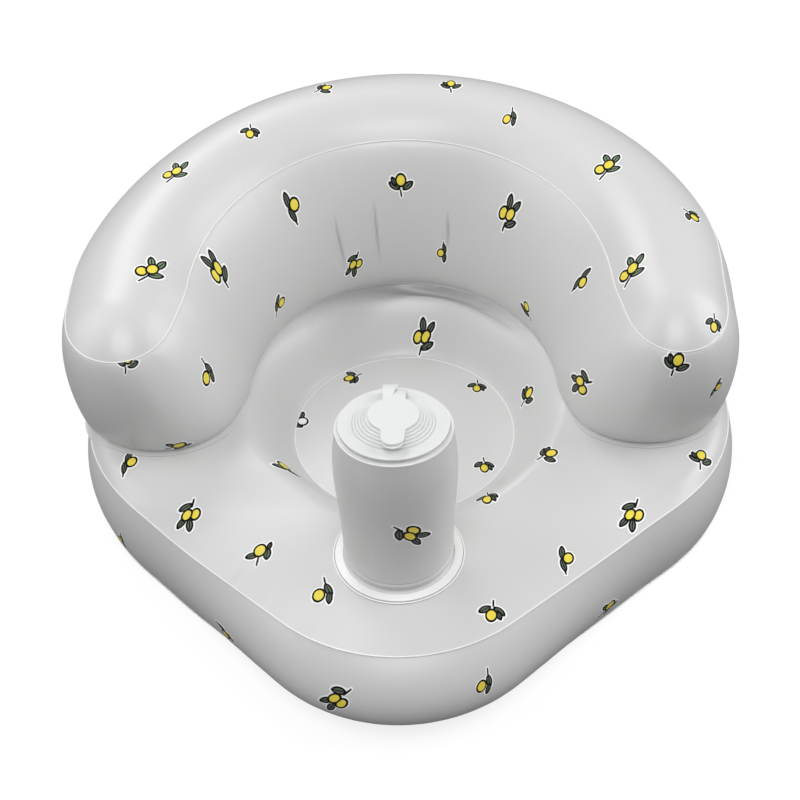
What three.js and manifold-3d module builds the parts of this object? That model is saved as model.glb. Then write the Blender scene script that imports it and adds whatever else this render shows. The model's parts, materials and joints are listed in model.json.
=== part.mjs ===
// Inflatable baby bath seat: a pear-shaped air base, a horseshoe backrest welded
// on top of it, a sunken seat floor, and a front post that is also its air pump.
//
// Millimetres, +Z up. The origin is on the floor, under the centre of the round
// seat floor. The post stands at the front, at -Y, and the backrest goes round
// the back, at +Y.

import * as THREE from 'three';
import { mergeVertices } from 'three/addons/utils/BufferGeometryUtils.js';
import Module from 'manifold-3d';

const wasm = await Module();
wasm.setup();

// Vinyl sheet and its welds
const skin = 0.5;
const weldGap = 0.3;

// Base chamber, seen from above
const rearRadius = 270;
const rearCentreY = -5;
const shoulderRadius = 160;
const noseRadius = 133;
const noseReach = 268;

// Base chamber, heights and the swell of its side
const deckHeight = 88;
const frontDeckHeight = 81;
const baseSeamHeight = 78;
const sideSwell = 7;
const noseSwell = 27;
const deckRoll = 14;
const frontDeckRoll = 50;
const deckFallStart = 72;
const deckFallEnd = 128;

// Seat well
const wellRadius = 95;
const wellHeight = 45;
const wellSlopeRun = 44;
const wellCrown = 5;
const webHoleRadius = 9;
const webHoleCount = 6;

// Backrest: the foot of its wall on the deck. Setbacks are from the widest line
// of the base inwards, and gaps are from the edge of the seat floor outwards.
const footOuterSetback = 7;
const footInnerSideGap = 38;
const footInnerBackGap = 53;
const footTipSetback = 68;
const footTipY = -16;
const footTipHalfWidth = 62;
const footTipReach = 47;
const footFlange = 6;

// Backrest: the seam round its top panel
const seamOuterSetback = 3;
const seamInnerSideGap = 77;
const seamInnerBackGap = 86;
const seamTipSetback = 46;
const seamTipY = -24;
const seamTipHalfWidth = 45;
const seamTipReach = 49;
const tipSeamHeight = 198;
const backSeamHeight = 232;

// Backrest: how far the air swells each wall
const outerSwell = 6;
const innerSwell = 9;
const tipSwell = 12;
const topCrown = 22;

// Air ports between base and backrest
const airPortRadius = 9;

// Pump post
const postSetback = 98;
const postFlangeRadius = 50;
const postFootRadius = 42.5;
const postTopRadius = 43;
const postSwell = 3.6;
const postHeight = 136.5;
const postFlareHeight = 8;
const postCollarRun = 22;
const headTilt = 5 * Math.PI / 180;
const foamRadius = 40;
const foamBoreRadius = 14;

// Pump top plate, its stepped hub and the intake hole
const plateRadius = 41.7;
const plateRim = 1.3;
const plateBossRadius = 38.5;
const plateBossHeight = 2.6;
const plateWall = 1.6;
const hubFootRadius = 30;
const hubTopRadius = 23;
const hubHeight = 6.6;
const hubSteps = 4;
const intakeCollarRadius = 9;
const intakeCollarDepth = 4;
const intakeHoleRadius = 6;

// Valve cap, its plug and its strap
const capRadius = 19;
const capThickness = 1.8;
const tabHalfWidth = 8.75;
const tabReach = 32.7;
const plugRadius = 5.5;
const plugTipRadius = 4.6;
const plugLength = 3.2;
const strapWidth = 15;
const strapThickness = 1;
const strapFootBack = 34;
const strapRise = 6;

// Flaps of the three one-way valves
const flapThickness = 0.6;
const intakeFlapRadius = 8.4;
const outletFlapRadius = 7.2;
const releaseFlapRadius = 6;

// Outlet valve under the post
const outletFlangeRadius = 12;
const outletFlangeThickness = 1.4;
const outletStemRadius = 7.4;
const outletBoreRadius = 5;
const outletStemDepth = 14;

// Release valve in the back of the base
const releaseFlangeRadius = 13;
const releaseFlangeThickness = 1.4;
const releaseStemRadius = 6.8;
const releaseBoreRadius = 4.8;
const releaseStemDepth = 13;
const releaseNozzleLength = 3.5;
const releasePlugLength = 8;
const releasePlugTipRadius = 3.8;
const releasePlugHeadRadius = 6.4;
const releasePlugHeadThickness = 1.8;
const releaseStrapWidth = 5;
const releaseStrapThickness = 0.9;
const releaseStrapRise = 3;

// Round steps
const baseStations = 60;
const backStations = 24;
const armStations = 2;
const tipStations = 8;
const smallStations = 24;
const postStations = 36;
const wallRows = 7;
const panelRings = 4;
const discRings = 3;
const slopeRings = 4;
const rollRings = 3;
const flareRows = 2;
const postRows = 7;

// Shares of the shape
const flankTurnShare = 50 / 180;
const coverStartShare = -42 / 180;
const coverEndShare = -22 / 180;
const airPortTurnShare = 41 / 180;
const postSwellShare = 0.72;
const webHoleHeightShare = 0.5;

// Places that follow from the sizes
const postY = postSetback - noseReach;
const footSheetZ = frontDeckHeight + weldGap;
const postFootZ = footSheetZ + skin + weldGap;
const postTopZ = postFootZ + postHeight;
const topSheetZ = weldGap;
const plateZ = topSheetZ + skin + weldGap;
const plateTopZ = plateZ + plateBossHeight + plateRim;
const hubTopZ = plateTopZ + hubHeight;
const capZ = hubTopZ + weldGap;
const releaseZ = baseSeamHeight / 2;
const releaseFaceY = rearCentreY + rearRadius + sideSwell + weldGap;

// Small tools

function clamp01(value) {
  return Math.min(1, Math.max(0, value));
}

function smooth(value) {
  const t = clamp01(value);
  return t * t * (3 - 2 * t);
}

function mix(a, b, t) {
  return a + (b - a) * t;
}

function indexed(points, faces) {
  const geometry = new THREE.BufferGeometry();
  const flat = points.flatMap((p) => [p.x, p.y, p.z]);
  geometry.setAttribute('position', new THREE.Float32BufferAttribute(flat, 3));
  geometry.setIndex(faces.flat());
  geometry.computeVertexNormals();
  return geometry;
}

// A sheet given by its outer face: the inner face is laid a thickness below it,
// and a band closes each rim. Faces and rims turn anticlockwise seen from outside.
function thickSheet(points, faces, rims, thickness = skin) {
  const normals = indexed(points, faces).getAttribute('normal');
  const inner = points.map((p, i) =>
    p.clone().addScaledVector(new THREE.Vector3().fromBufferAttribute(normals, i), -thickness));
  const shift = points.length;
  const back = faces.map(([a, b, c]) => [a + shift, c + shift, b + shift]);
  const bands = rims.flatMap((rim) => rim.flatMap((a, i) => {
    const b = rim[(i + 1) % rim.length];
    return [[b, a, a + shift], [b, a + shift, b + shift]];
  }));
  return indexed([...points, ...inner], [...faces, ...back, ...bands]);
}

// Faces between rings of points that each close on themselves. The rings are
// listed so that the outside is on the left of a step from ring to ring.
function ringFaces(ringCount, stations) {
  const faces = [];
  for (let j = 0; j + 1 < ringCount; j++) {
    for (let i = 0; i < stations; i++) {
      const k = (i + 1) % stations;
      const [a, b] = [j * stations + i, j * stations + k];
      const [c, d] = [a + stations, b + stations];
      faces.push([a, c, d], [a, d, b]);
    }
  }
  return faces;
}

// A ring-shaped sheet from rings of points, with a rim at each end.
function ringSheet(rings, thickness = skin) {
  const stations = rings[0].length;
  const last = (rings.length - 1) * stations;
  const firstRim = rings[0].map((_, i) => stations - 1 - i);
  const lastRim = rings[0].map((_, i) => last + i);
  return thickSheet(rings.flat(), ringFaces(rings.length, stations),
    [firstRim, lastRim], thickness);
}

// A closed mesh as a solid that can be cut, and the way back.
function toSolid(geometry) {
  const bare = geometry.clone();
  bare.deleteAttribute('normal');
  bare.deleteAttribute('uv');
  const merged = mergeVertices(bare);
  return new wasm.Manifold(new wasm.Mesh({
    numProp: 3,
    vertProperties: new Float32Array(merged.getAttribute('position').array),
    triVerts: new Uint32Array(merged.index.array),
  }));
}

function toGeometry(solid) {
  const mesh = solid.getMesh();
  const geometry = new THREE.BufferGeometry();
  geometry.setAttribute('position', new THREE.BufferAttribute(mesh.vertProperties, 3));
  geometry.setIndex(new THREE.BufferAttribute(mesh.triVerts, 1));
  geometry.computeVertexNormals();
  return geometry;
}

// A straight drill along an axis, centred on a point.
function drill(radius, length, centre, turn = new THREE.Euler(Math.PI / 2, 0, 0)) {
  const geometry = new THREE.CylinderGeometry(radius, radius, length, smallStations);
  geometry.applyMatrix4(new THREE.Matrix4().makeRotationFromEuler(turn));
  geometry.translate(centre.x, centre.y, centre.z);
  return toSolid(geometry);
}

// A solid turned about the Z axis from a list of radius and height pairs.
function turned(pairs, stations = smallStations) {
  const profile = pairs.map(([radius, height]) => new THREE.Vector2(radius, height));
  const closed = pairs[0][0] > 0 ? [...profile, profile[0].clone()] : profile;
  const geometry = new THREE.LatheGeometry(closed, stations);
  geometry.rotateX(Math.PI / 2);
  return geometry;
}

// A flat sheet from an outline in the XY plane, lying on a height.
function flatSheet(shape, height, thickness) {
  const geometry = new THREE.ExtrudeGeometry(shape, {
    depth: thickness, bevelEnabled: false, curveSegments: smallStations,
  });
  geometry.translate(0, 0, height);
  return geometry;
}

// Base outline: a rear circle, two shoulder arcs, straight flanks and a nose arc

function flankNormal() {
  const alongX = rearRadius - shoulderRadius;
  const alongY = rearCentreY - (noseRadius - noseReach);
  const spread = Math.acos((noseRadius - shoulderRadius) / Math.hypot(alongX, alongY));
  const angle = Math.atan2(alongY, alongX) - spread;
  return new THREE.Vector2(Math.cos(angle), Math.sin(angle));
}

function rayToCircle(direction, centre, radius) {
  const along = direction.dot(centre);
  return along + Math.sqrt(along * along - centre.lengthSq() + radius * radius);
}

function baseRadius(angle) {
  const direction = new THREE.Vector2(Math.abs(Math.cos(angle)), Math.sin(angle));
  const bearing = Math.atan2(direction.y, direction.x);
  const rear = new THREE.Vector2(0, rearCentreY);
  const shoulder = new THREE.Vector2(rearRadius - shoulderRadius, rearCentreY);
  const nose = new THREE.Vector2(0, noseRadius - noseReach);
  const normal = flankNormal();
  const widest = Math.atan2(rearCentreY, rearRadius);
  const flankStart = shoulder.clone().addScaledVector(normal, shoulderRadius);
  const flankEnd = nose.clone().addScaledVector(normal, noseRadius);
  if (bearing >= widest) return rayToCircle(direction, rear, rearRadius);
  if (bearing >= flankStart.angle() - 2 * Math.PI) {
    return rayToCircle(direction, shoulder, shoulderRadius);
  }
  if (bearing >= flankEnd.angle() - 2 * Math.PI) {
    return normal.dot(flankStart) / normal.dot(direction);
  }
  return rayToCircle(direction, nose, noseRadius);
}

function baseAngles() {
  return Array.from({ length: baseStations }, (_, i) => 2 * Math.PI * i / baseStations);
}

function polar(radius, angle, z) {
  return new THREE.Vector3(radius * Math.cos(angle), radius * Math.sin(angle), z);
}

// 1 straight ahead at the nose, 0 from the flanks backwards
function noseShare(angle) {
  const offNose = Math.acos(clamp01(-Math.sin(angle)));
  return smooth(1 - offNose / (Math.PI * flankTurnShare));
}

// The deck rolls down to its seam over a short run under the backrest, and over
// a longer one at the open front.
function rollRun(angle) {
  const bearing = Math.atan2(Math.sin(angle), Math.abs(Math.cos(angle))) / Math.PI;
  const covered = smooth((bearing - coverStartShare) / (coverEndShare - coverStartShare));
  return mix(frontDeckRoll, deckRoll, covered);
}

// The deck is level under the backrest, falls a little to the open front, dips
// into the seat well, and lies level round the post.
function deckZ(radius, angle) {
  const place = polar(radius, angle, 0);
  const fall = smooth((-place.y - deckFallStart) / (deckFallEnd - deckFallStart));
  const deck = mix(deckHeight, frontDeckHeight, fall);
  const rise = smooth((radius - wellRadius) / wellSlopeRun);
  const offPost = Math.hypot(place.x, place.y - postY) - postFlangeRadius;
  const collar = 1 - smooth(offPost / postCollarRun);
  const level = mix(mix(wellHeight, deck, rise), frontDeckHeight, collar);
  const roll = clamp01(1 - (baseRadius(angle) - radius) / rollRun(angle));
  return mix(level, baseSeamHeight, roll * roll);
}

// Base chamber

function baseBottomSheet() {
  const outline = baseAngles().map((a) => {
    const p = polar(baseRadius(a), a, 0);
    return new THREE.Vector2(p.x, p.y);
  });
  return flatSheet(new THREE.Shape(outline), 0, skin);
}

function baseSideWall() {
  const [low, high] = [skin + weldGap, baseSeamHeight - skin - weldGap];
  const rings = Array.from({ length: wallRows }, (_, j) => {
    const t = 1 - j / (wallRows - 1);
    return baseAngles().map((a) => {
      const swell = mix(sideSwell, noseSwell, noseShare(a)) * 4 * t * (1 - t);
      return polar(baseRadius(a) + swell, a, mix(low, high, t));
    });
  });
  const hole = drill(releaseStemRadius + weldGap, 2 * releaseStemDepth,
    new THREE.Vector3(0, releaseFaceY, releaseZ), new THREE.Euler());
  return toGeometry(toSolid(ringSheet(rings)).subtract(hole));
}

function baseTopPanel() {
  const radii = baseAngles().map((a) => {
    const edge = baseRadius(a);
    const slope = Array.from({ length: slopeRings + 1 },
      (_, j) => wellRadius + wellSlopeRun * j / slopeRings);
    const roll = Array.from({ length: rollRings + 1 },
      (_, j) => edge - rollRun(a) * (1 - j / rollRings));
    return [...slope, (slope[slopeRings] + roll[0]) / 2, ...roll];
  });
  const rings = radii[0].map((_, j) => baseAngles().map((a, i) =>
    polar(radii[i][j], a, deckZ(radii[i][j], a))));
  const depth = 4 * skin;
  const ports = airPorts().map((p) => drill(airPortRadius, depth,
    new THREE.Vector3(p.x, p.y, deckHeight)));
  const valveHole = drill(outletStemRadius + weldGap, depth,
    new THREE.Vector3(0, postY, frontDeckHeight));
  return toGeometry([...ports, valveHole].reduce(
    (solid, hole) => solid.subtract(hole), toSolid(ringSheet(rings))));
}

// Seat floor and the web that ties it down to the bottom sheet

function seatFloorDisc() {
  const rim = wellRadius - weldGap;
  const steps = Array.from({ length: discRings + 1 }, (_, j) => j / discRings);
  const top = steps.map((t) => [rim * t, wellHeight + wellCrown * (1 - t * t)]);
  const under = top.map(([radius, height]) => [radius, height - skin]);
  return turned([...under, ...top.reverse()], baseStations);
}

function seatTetherWeb() {
  const outer = wellRadius - weldGap;
  const [low, high] = [skin + weldGap, wellHeight - skin - weldGap];
  const web = turned([[outer - skin, low], [outer, low], [outer, high], [outer - skin, high]],
    baseStations);
  const height = mix(low, high, webHoleHeightShare);
  const drills = Array.from({ length: webHoleCount / 2 }, (_, i) =>
    drill(webHoleRadius, 2 * wellRadius + 2 * webHoleRadius, new THREE.Vector3(0, 0, height),
      new THREE.Euler(0, 0, 2 * Math.PI * i / webHoleCount)));
  return toGeometry(drills.reduce((solid, hole) => solid.subtract(hole), toSolid(web)));
}

// Backrest: a horseshoe outline at the foot of its wall and one at its top seam

const footLevel = {
  innerSide: wellRadius + footInnerSideGap, innerBack: wellRadius + footInnerBackGap,
  outer: rearRadius - footOuterSetback, tipX: rearRadius - footTipSetback,
  tipY: footTipY, tipHalfWidth: footTipHalfWidth, tipReach: footTipReach,
};

const seamLevel = {
  innerSide: wellRadius + seamInnerSideGap, innerBack: wellRadius + seamInnerBackGap,
  outer: rearRadius - seamOuterSetback, tipX: rearRadius - seamTipSetback,
  tipY: seamTipY, tipHalfWidth: seamTipHalfWidth, tipReach: seamTipReach,
};

const flangeLevel = {
  ...footLevel,
  innerSide: footLevel.innerSide - footFlange, innerBack: footLevel.innerBack - footFlange,
  outer: footLevel.outer + footFlange, tipHalfWidth: footTipHalfWidth + footFlange,
  tipReach: footTipReach + footFlange,
};

// Stations go anticlockwise: the outside from right to left, the left tip, the
// inside from left to right, the right tip.
function horseshoeStations() {
  const arc = Array.from({ length: backStations + 1 }, (_, i) => Math.PI * i / backStations);
  const arm = Array.from({ length: armStations }, (_, i) => (i + 1) / armStations);
  const tip = Array.from({ length: tipStations - 1 }, (_, i) => Math.PI * (i + 1) / tipStations);
  const reversed = (list) => [...list].reverse();
  return [
    ...arc.map((turn) => ({ turn, out: 1 })),
    ...arm.map((share) => ({ share, side: -1, out: 1 })),
    ...tip.map((bend) => ({ bend, side: -1 })),
    ...reversed(arm).map((share) => ({ share, side: -1, out: -1 })),
    ...reversed(arc).map((turn) => ({ turn, out: -1 })),
    ...arm.map((share) => ({ share, side: 1, out: -1 })),
    ...reversed(tip).map((bend) => ({ bend, side: 1 })),
    ...reversed(arm).map((share) => ({ share, side: 1, out: 1 })),
  ];
}

// A station's place on a level: inset 0 is the outline, inset 1 the middle line
function horseshoePoint(level, station, inset = 0) {
  const half = (level.outer - level.innerSide) / 2;
  const middle = (level.outer + level.innerSide) / 2;
  if (station.turn !== undefined) {
    const inner = mix(level.innerSide, level.innerBack, Math.sin(station.turn) ** 2);
    const across = station.out * (1 - inset) * (level.outer - inner) / 2;
    const p = polar((level.outer + inner) / 2 + across, station.turn, 0);
    return new THREE.Vector2(p.x, p.y);
  }
  if (station.share !== undefined) {
    const flare = smooth(station.share);
    const across = station.out * (1 - inset) * mix(half, level.tipHalfWidth, flare);
    return new THREE.Vector2(station.side * (mix(middle, level.tipX, flare) + across),
      level.tipY * station.share);
  }
  const across = level.tipHalfWidth * Math.cos(station.bend) * (1 - inset);
  const ahead = level.tipReach * Math.sin(station.bend) * (1 - inset);
  return new THREE.Vector2(station.side * (level.tipX + across), level.tipY - ahead);
}

// Middle of the backrest's foot, on the right and on the left
function airPorts() {
  return [airPortTurnShare, 1 - airPortTurnShare].map((share) =>
    horseshoePoint(footLevel, { turn: Math.PI * share, out: 1 }, 1));
}

function outwardNormals(points) {
  return points.map((_, i) => {
    const before = points[(i + points.length - 1) % points.length];
    const after = points[(i + 1) % points.length];
    return new THREE.Vector2(after.y - before.y, before.x - after.x).normalize();
  });
}

function seamZ(y) {
  const front = seamTipY - seamTipReach;
  return mix(tipSeamHeight, backSeamHeight, (y - front) / (seamLevel.outer - front));
}

function wallSwell(point, normal) {
  const facing = normal.dot(point.clone().normalize());
  return mix(tipSwell, facing > 0 ? outerSwell : innerSwell, Math.abs(facing));
}

function backrestBottomPanel() {
  const outline = horseshoeStations().map((s) => horseshoePoint(flangeLevel, s));
  const shape = new THREE.Shape(outline);
  for (const place of airPorts()) {
    const port = new THREE.Path();
    port.absarc(place.x, place.y, airPortRadius, 0, 2 * Math.PI, true);
    shape.holes.push(port);
  }
  return flatSheet(shape, deckHeight + weldGap, skin);
}

function backrestSideWall() {
  const stations = horseshoeStations();
  const foot = stations.map((s) => horseshoePoint(footLevel, s));
  const seam = stations.map((s) => horseshoePoint(seamLevel, s));
  const normals = outwardNormals(foot.map((p, i) => p.clone().lerp(seam[i], 0.5)));
  const rings = Array.from({ length: wallRows }, (_, j) => {
    const t = 1 - j / (wallRows - 1);
    return stations.map((_, i) => {
      const swell = wallSwell(seam[i], normals[i]) * 4 * t * (1 - t);
      const p = foot[i].clone().lerp(seam[i], t).addScaledVector(normals[i], swell);
      const top = seamZ(seam[i].y) - skin - weldGap;
      return new THREE.Vector3(p.x, p.y, mix(deckHeight + skin + 2 * weldGap, top, t));
    });
  });
  return ringSheet(rings);
}

// The top panel's section is a circular arc over the width between its seams
function crownZ(inset) {
  const half = (seamLevel.outer - seamLevel.innerSide) / 2;
  const arcRadius = (half * half + topCrown * topCrown) / (2 * topCrown);
  return Math.sqrt(arcRadius ** 2 - (half * (1 - inset)) ** 2) - (arcRadius - topCrown);
}

// Rings run from the middle line out to the seam. Stations that meet on the
// middle line share one point, so the panel is one piece without a slit.
function backrestTopPanel() {
  const stations = horseshoeStations();
  const points = [];
  const known = new Map();
  const rings = Array.from({ length: panelRings + 1 }, (_, j) => {
    const inset = 1 - j / panelRings;
    return stations.map((s) => {
      const p = horseshoePoint(seamLevel, s, inset);
      const key = inset === 1 ? `${p.x.toFixed(3)} ${p.y.toFixed(3)}` : points.length;
      if (!known.has(key)) {
        known.set(key, points.length);
        points.push(new THREE.Vector3(p.x, p.y, seamZ(p.y) + crownZ(inset)));
      }
      return known.get(key);
    });
  });
  const order = rings.flat();
  const faces = ringFaces(rings.length, stations.length)
    .map((face) => face.map((corner) => order[corner]))
    .filter(([a, b, c]) => a !== b && b !== c && c !== a);
  return thickSheet(points, faces, [rings[panelRings]]);
}

// Pump post. Its parts are placed from the centre line of the post. The head
// leans back a little, so the top of the wall and of the foam slope with it.

function postRadius(height) {
  const t = height / postHeight;
  const bend = Math.log(0.5) / Math.log(postSwellShare);
  const flare = clamp01(1 - height / postFlareHeight) ** 2 * (postFlangeRadius - postFootRadius);
  return mix(postFootRadius, postTopRadius, t) + flare
    + postSwell * Math.sin(Math.PI * t ** bend);
}

function slopedTop(geometry) {
  const place = geometry.getAttribute('position');
  for (let i = 0; i < place.count; i++) {
    const share = place.getZ(i) / postHeight;
    place.setZ(i, place.getZ(i) - share * place.getY(i) * Math.tan(headTilt));
  }
  return geometry;
}

function pumpFootSheet() {
  const bore = outletStemRadius + weldGap;
  return turned([[bore, footSheetZ], [postFlangeRadius, footSheetZ],
    [postFlangeRadius, footSheetZ + skin], [bore, footSheetZ + skin]], postStations);
}

function pumpColumnWall() {
  const flare = Array.from({ length: flareRows }, (_, j) => postFlareHeight * j / flareRows);
  const barrel = Array.from({ length: postRows }, (_, j) =>
    mix(postFlareHeight, postHeight, j / (postRows - 1)));
  const outer = [...flare, ...barrel].map((height) => [postRadius(height), height]);
  const inner = outer.map(([radius, height]) => [radius - skin, height]).reverse();
  return slopedTop(turned([...outer, ...inner], postStations));
}

function pumpFoamCore() {
  return slopedTop(turned([[foamBoreRadius, 0], [foamRadius, 0],
    [foamRadius, postHeight], [foamBoreRadius, postHeight]]));
}

const cavityRadius = hubFootRadius - 2 * plateWall;

function pumpTopSheet() {
  return turned([[cavityRadius, topSheetZ], [postTopRadius, topSheetZ],
    [postTopRadius, topSheetZ + skin], [cavityRadius, topSheetZ + skin]], postStations);
}

function pumpTopPlate() {
  const tread = (hubFootRadius - hubTopRadius) / hubSteps;
  const riser = hubHeight / hubSteps;
  const steps = Array.from({ length: hubSteps }, (_, i) => [
    [hubFootRadius - i * tread, plateTopZ + i * riser],
    [hubFootRadius - (i + 0.5) * tread, plateTopZ + (i + 1) * riser],
  ]).flat();
  return turned([
    [cavityRadius, plateZ], [plateBossRadius, plateZ],
    [plateBossRadius, plateZ + plateBossHeight], [plateRadius, plateZ + plateBossHeight],
    [plateRadius, plateTopZ], ...steps,
    [intakeHoleRadius, hubTopZ], [intakeHoleRadius, hubTopZ - intakeCollarDepth],
    [intakeCollarRadius, hubTopZ - intakeCollarDepth], [intakeCollarRadius, hubTopZ - plateWall],
    [hubTopRadius - plateWall, hubTopZ - plateWall], [cavityRadius, plateTopZ - plateWall],
  ], postStations);
}

function flapDisc(radius) {
  return turned([[0, -flapThickness], [radius, -flapThickness], [radius, 0], [0, 0]]);
}

// The cap: a round lid with a pull tab to the front and a tapered plug below
function valveCap() {
  const shape = new THREE.Shape();
  const joint = Math.asin(tabHalfWidth / capRadius);
  shape.absarc(0, 0, capRadius, joint - Math.PI / 2, 1.5 * Math.PI - joint, false);
  shape.absarc(0, tabHalfWidth - tabReach, tabHalfWidth, Math.PI, 2 * Math.PI, false);
  const lid = toSolid(flatSheet(shape, 0, capThickness));
  const plug = toSolid(turned([[0, -plugLength], [plugTipRadius, -plugLength],
    [plugRadius, 0], [plugRadius, capThickness / 2], [0, capThickness / 2]]));
  return toGeometry(lid.add(plug));
}

// A bent band: a line of places in its side view, its thickness and its width
function bentBand(places, thickness, width) {
  const line = new THREE.SplineCurve(places.map(([along, up]) => new THREE.Vector2(along, up)));
  const samples = 3 * (places.length - 1);
  const side = (sign) => Array.from({ length: samples + 1 }, (_, i) => {
    const tangent = line.getTangent(i / samples);
    return line.getPoint(i / samples).add(
      new THREE.Vector2(-tangent.y, tangent.x).multiplyScalar(sign * thickness / 2));
  });
  const shape = new THREE.Shape([...side(-1), ...side(1).reverse()]);
  const geometry = new THREE.ExtrudeGeometry(shape, { depth: width, bevelEnabled: false });
  geometry.translate(0, 0, -width / 2);
  geometry.applyMatrix4(new THREE.Matrix4().makeBasis(new THREE.Vector3(0, 1, 0),
    new THREE.Vector3(0, 0, 1), new THREE.Vector3(1, 0, 0)));
  return geometry;
}

// From the back edge of the cap, up over the rim of the hub and down to the plate
function capStrap() {
  const start = capRadius + weldGap + strapThickness / 2;
  const middle = capZ + capThickness / 2;
  const foot = plateTopZ + weldGap;
  return bentBand([
    [start, middle], [mix(start, strapFootBack, 1 / 4), middle + strapRise * 3 / 4],
    [mix(start, strapFootBack, 2 / 3), middle + strapRise],
    [strapFootBack, mix(foot, middle, 2 / 3)], [strapFootBack, foot],
  ], strapThickness, strapWidth);
}

function outletValveBody() {
  return turned([[outletBoreRadius, -outletStemDepth], [outletStemRadius, -outletStemDepth],
    [outletStemRadius, 0], [outletFlangeRadius, 0],
    [outletFlangeRadius, outletFlangeThickness], [outletBoreRadius, outletFlangeThickness]]);
}

// Release valve. Its parts are placed along its own axis, which points out of
// the back wall, from the inner face of its flange.

const releaseNozzleEnd = releaseFlangeThickness + releaseNozzleLength;

function releaseValveBody() {
  return turned([[releaseBoreRadius, -releaseStemDepth], [releaseStemRadius, -releaseStemDepth],
    [releaseStemRadius, 0], [releaseFlangeRadius, 0],
    [releaseFlangeRadius, releaseFlangeThickness], [releaseStemRadius, releaseFlangeThickness],
    [releaseStemRadius, releaseNozzleEnd], [releaseBoreRadius, releaseNozzleEnd]]);
}

function releasePlug() {
  const head = releaseNozzleEnd + weldGap;
  return turned([[0, head - releasePlugLength], [releasePlugTipRadius, head - releasePlugLength],
    [releaseBoreRadius - weldGap, head], [releasePlugHeadRadius, head],
    [releasePlugHeadRadius, head + releasePlugHeadThickness],
    [0, head + releasePlugHeadThickness]]);
}

// The strap leaves the flange below the nozzle and bends up to the plug's head
function releasePlugStrap() {
  const flangeFace = releaseFlangeThickness + weldGap;
  const head = releaseNozzleEnd + weldGap + releasePlugHeadThickness / 2;
  const low = -(releaseStemRadius + releaseFlangeRadius) / 2 - releaseStrapThickness;
  const edge = -releasePlugHeadRadius - weldGap;
  return bentBand([[flangeFace, low], [mix(flangeFace, head, 2 / 3), low],
    [head + releaseStrapRise / 2, mix(low, edge, 1 / 3)], [head, edge]],
  releaseStrapThickness, releaseStrapWidth);
}

// Materials: base colours, roughness

const vinyl = { color: 0xeeeeed, roughness: 0.38 };
const hiddenVinyl = { color: 0xe6e7e7, roughness: 0.45 };
const moulded = { color: 0xf5f5f4, roughness: 0.42 };
const clearVinyl = { color: 0xdfe3e3, roughness: 0.3 };
const foam = { color: 0xe9e2c9, roughness: 0.95 };

function part(name, geometry, look) {
  const mesh = new THREE.Mesh(geometry, new THREE.MeshStandardMaterial({ ...look, metalness: 0 }));
  mesh.name = name;
  return mesh;
}

function flap(name, radius, hingeSeat) {
  const mesh = part(name, flapDisc(radius), clearVinyl);
  mesh.position.z = hingeSeat;
  return mesh;
}

const base = new THREE.Group();
base.add(
  part('base_bottom_sheet', baseBottomSheet(), vinyl),
  part('base_side_wall', baseSideWall(), vinyl),
  part('base_top_panel', baseTopPanel(), vinyl),
  part('seat_floor_disc', seatFloorDisc(), vinyl),
  part('seat_tether_web', seatTetherWeb(), hiddenVinyl),
);

const backrest = new THREE.Group();
backrest.add(
  part('backrest_bottom_panel', backrestBottomPanel(), vinyl),
  part('backrest_side_wall', backrestSideWall(), vinyl),
  part('backrest_top_panel', backrestTopPanel(), vinyl),
);

const cap = part('valve_cap', valveCap(), moulded);
cap.position.z = capZ;

const head = new THREE.Group();
head.position.z = postTopZ;
head.rotation.x = -headTilt;
head.add(
  part('pump_top_sheet', pumpTopSheet(), vinyl),
  part('pump_top_plate', pumpTopPlate(), moulded),
  flap('intake_flap', intakeFlapRadius, hubTopZ - intakeCollarDepth - weldGap),
  cap,
  part('cap_strap', capStrap(), moulded),
);

const column = new THREE.Group();
column.position.z = postFootZ;
column.add(
  part('pump_column_wall', pumpColumnWall(), vinyl),
  part('pump_foam_core', pumpFoamCore(), foam),
  part('outlet_valve_body', outletValveBody(), clearVinyl),
  flap('outlet_flap', outletFlapRadius, -outletStemDepth - weldGap),
);

const post = new THREE.Group();
post.position.y = postY;
post.add(part('pump_foot_sheet', pumpFootSheet(), vinyl), column, head);

const releaseTurned = new THREE.Group();
releaseTurned.rotation.x = -Math.PI / 2;
releaseTurned.add(
  part('release_valve_body', releaseValveBody(), clearVinyl),
  part('release_plug', releasePlug(), clearVinyl),
  flap('release_flap', releaseFlapRadius, -releaseStemDepth - weldGap),
);
const releaseValve = new THREE.Group();
releaseValve.position.set(0, releaseFaceY, releaseZ);
releaseValve.add(releaseTurned, part('release_plug_strap', releasePlugStrap(), clearVinyl));

const seat = new THREE.Group();
seat.add(base, backrest, post, releaseValve);

export default seat;
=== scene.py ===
import json
import math

import bmesh
import bpy
import numpy as np
from mathutils import Matrix, Vector
from mathutils.bvhtree import BVHTree

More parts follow.
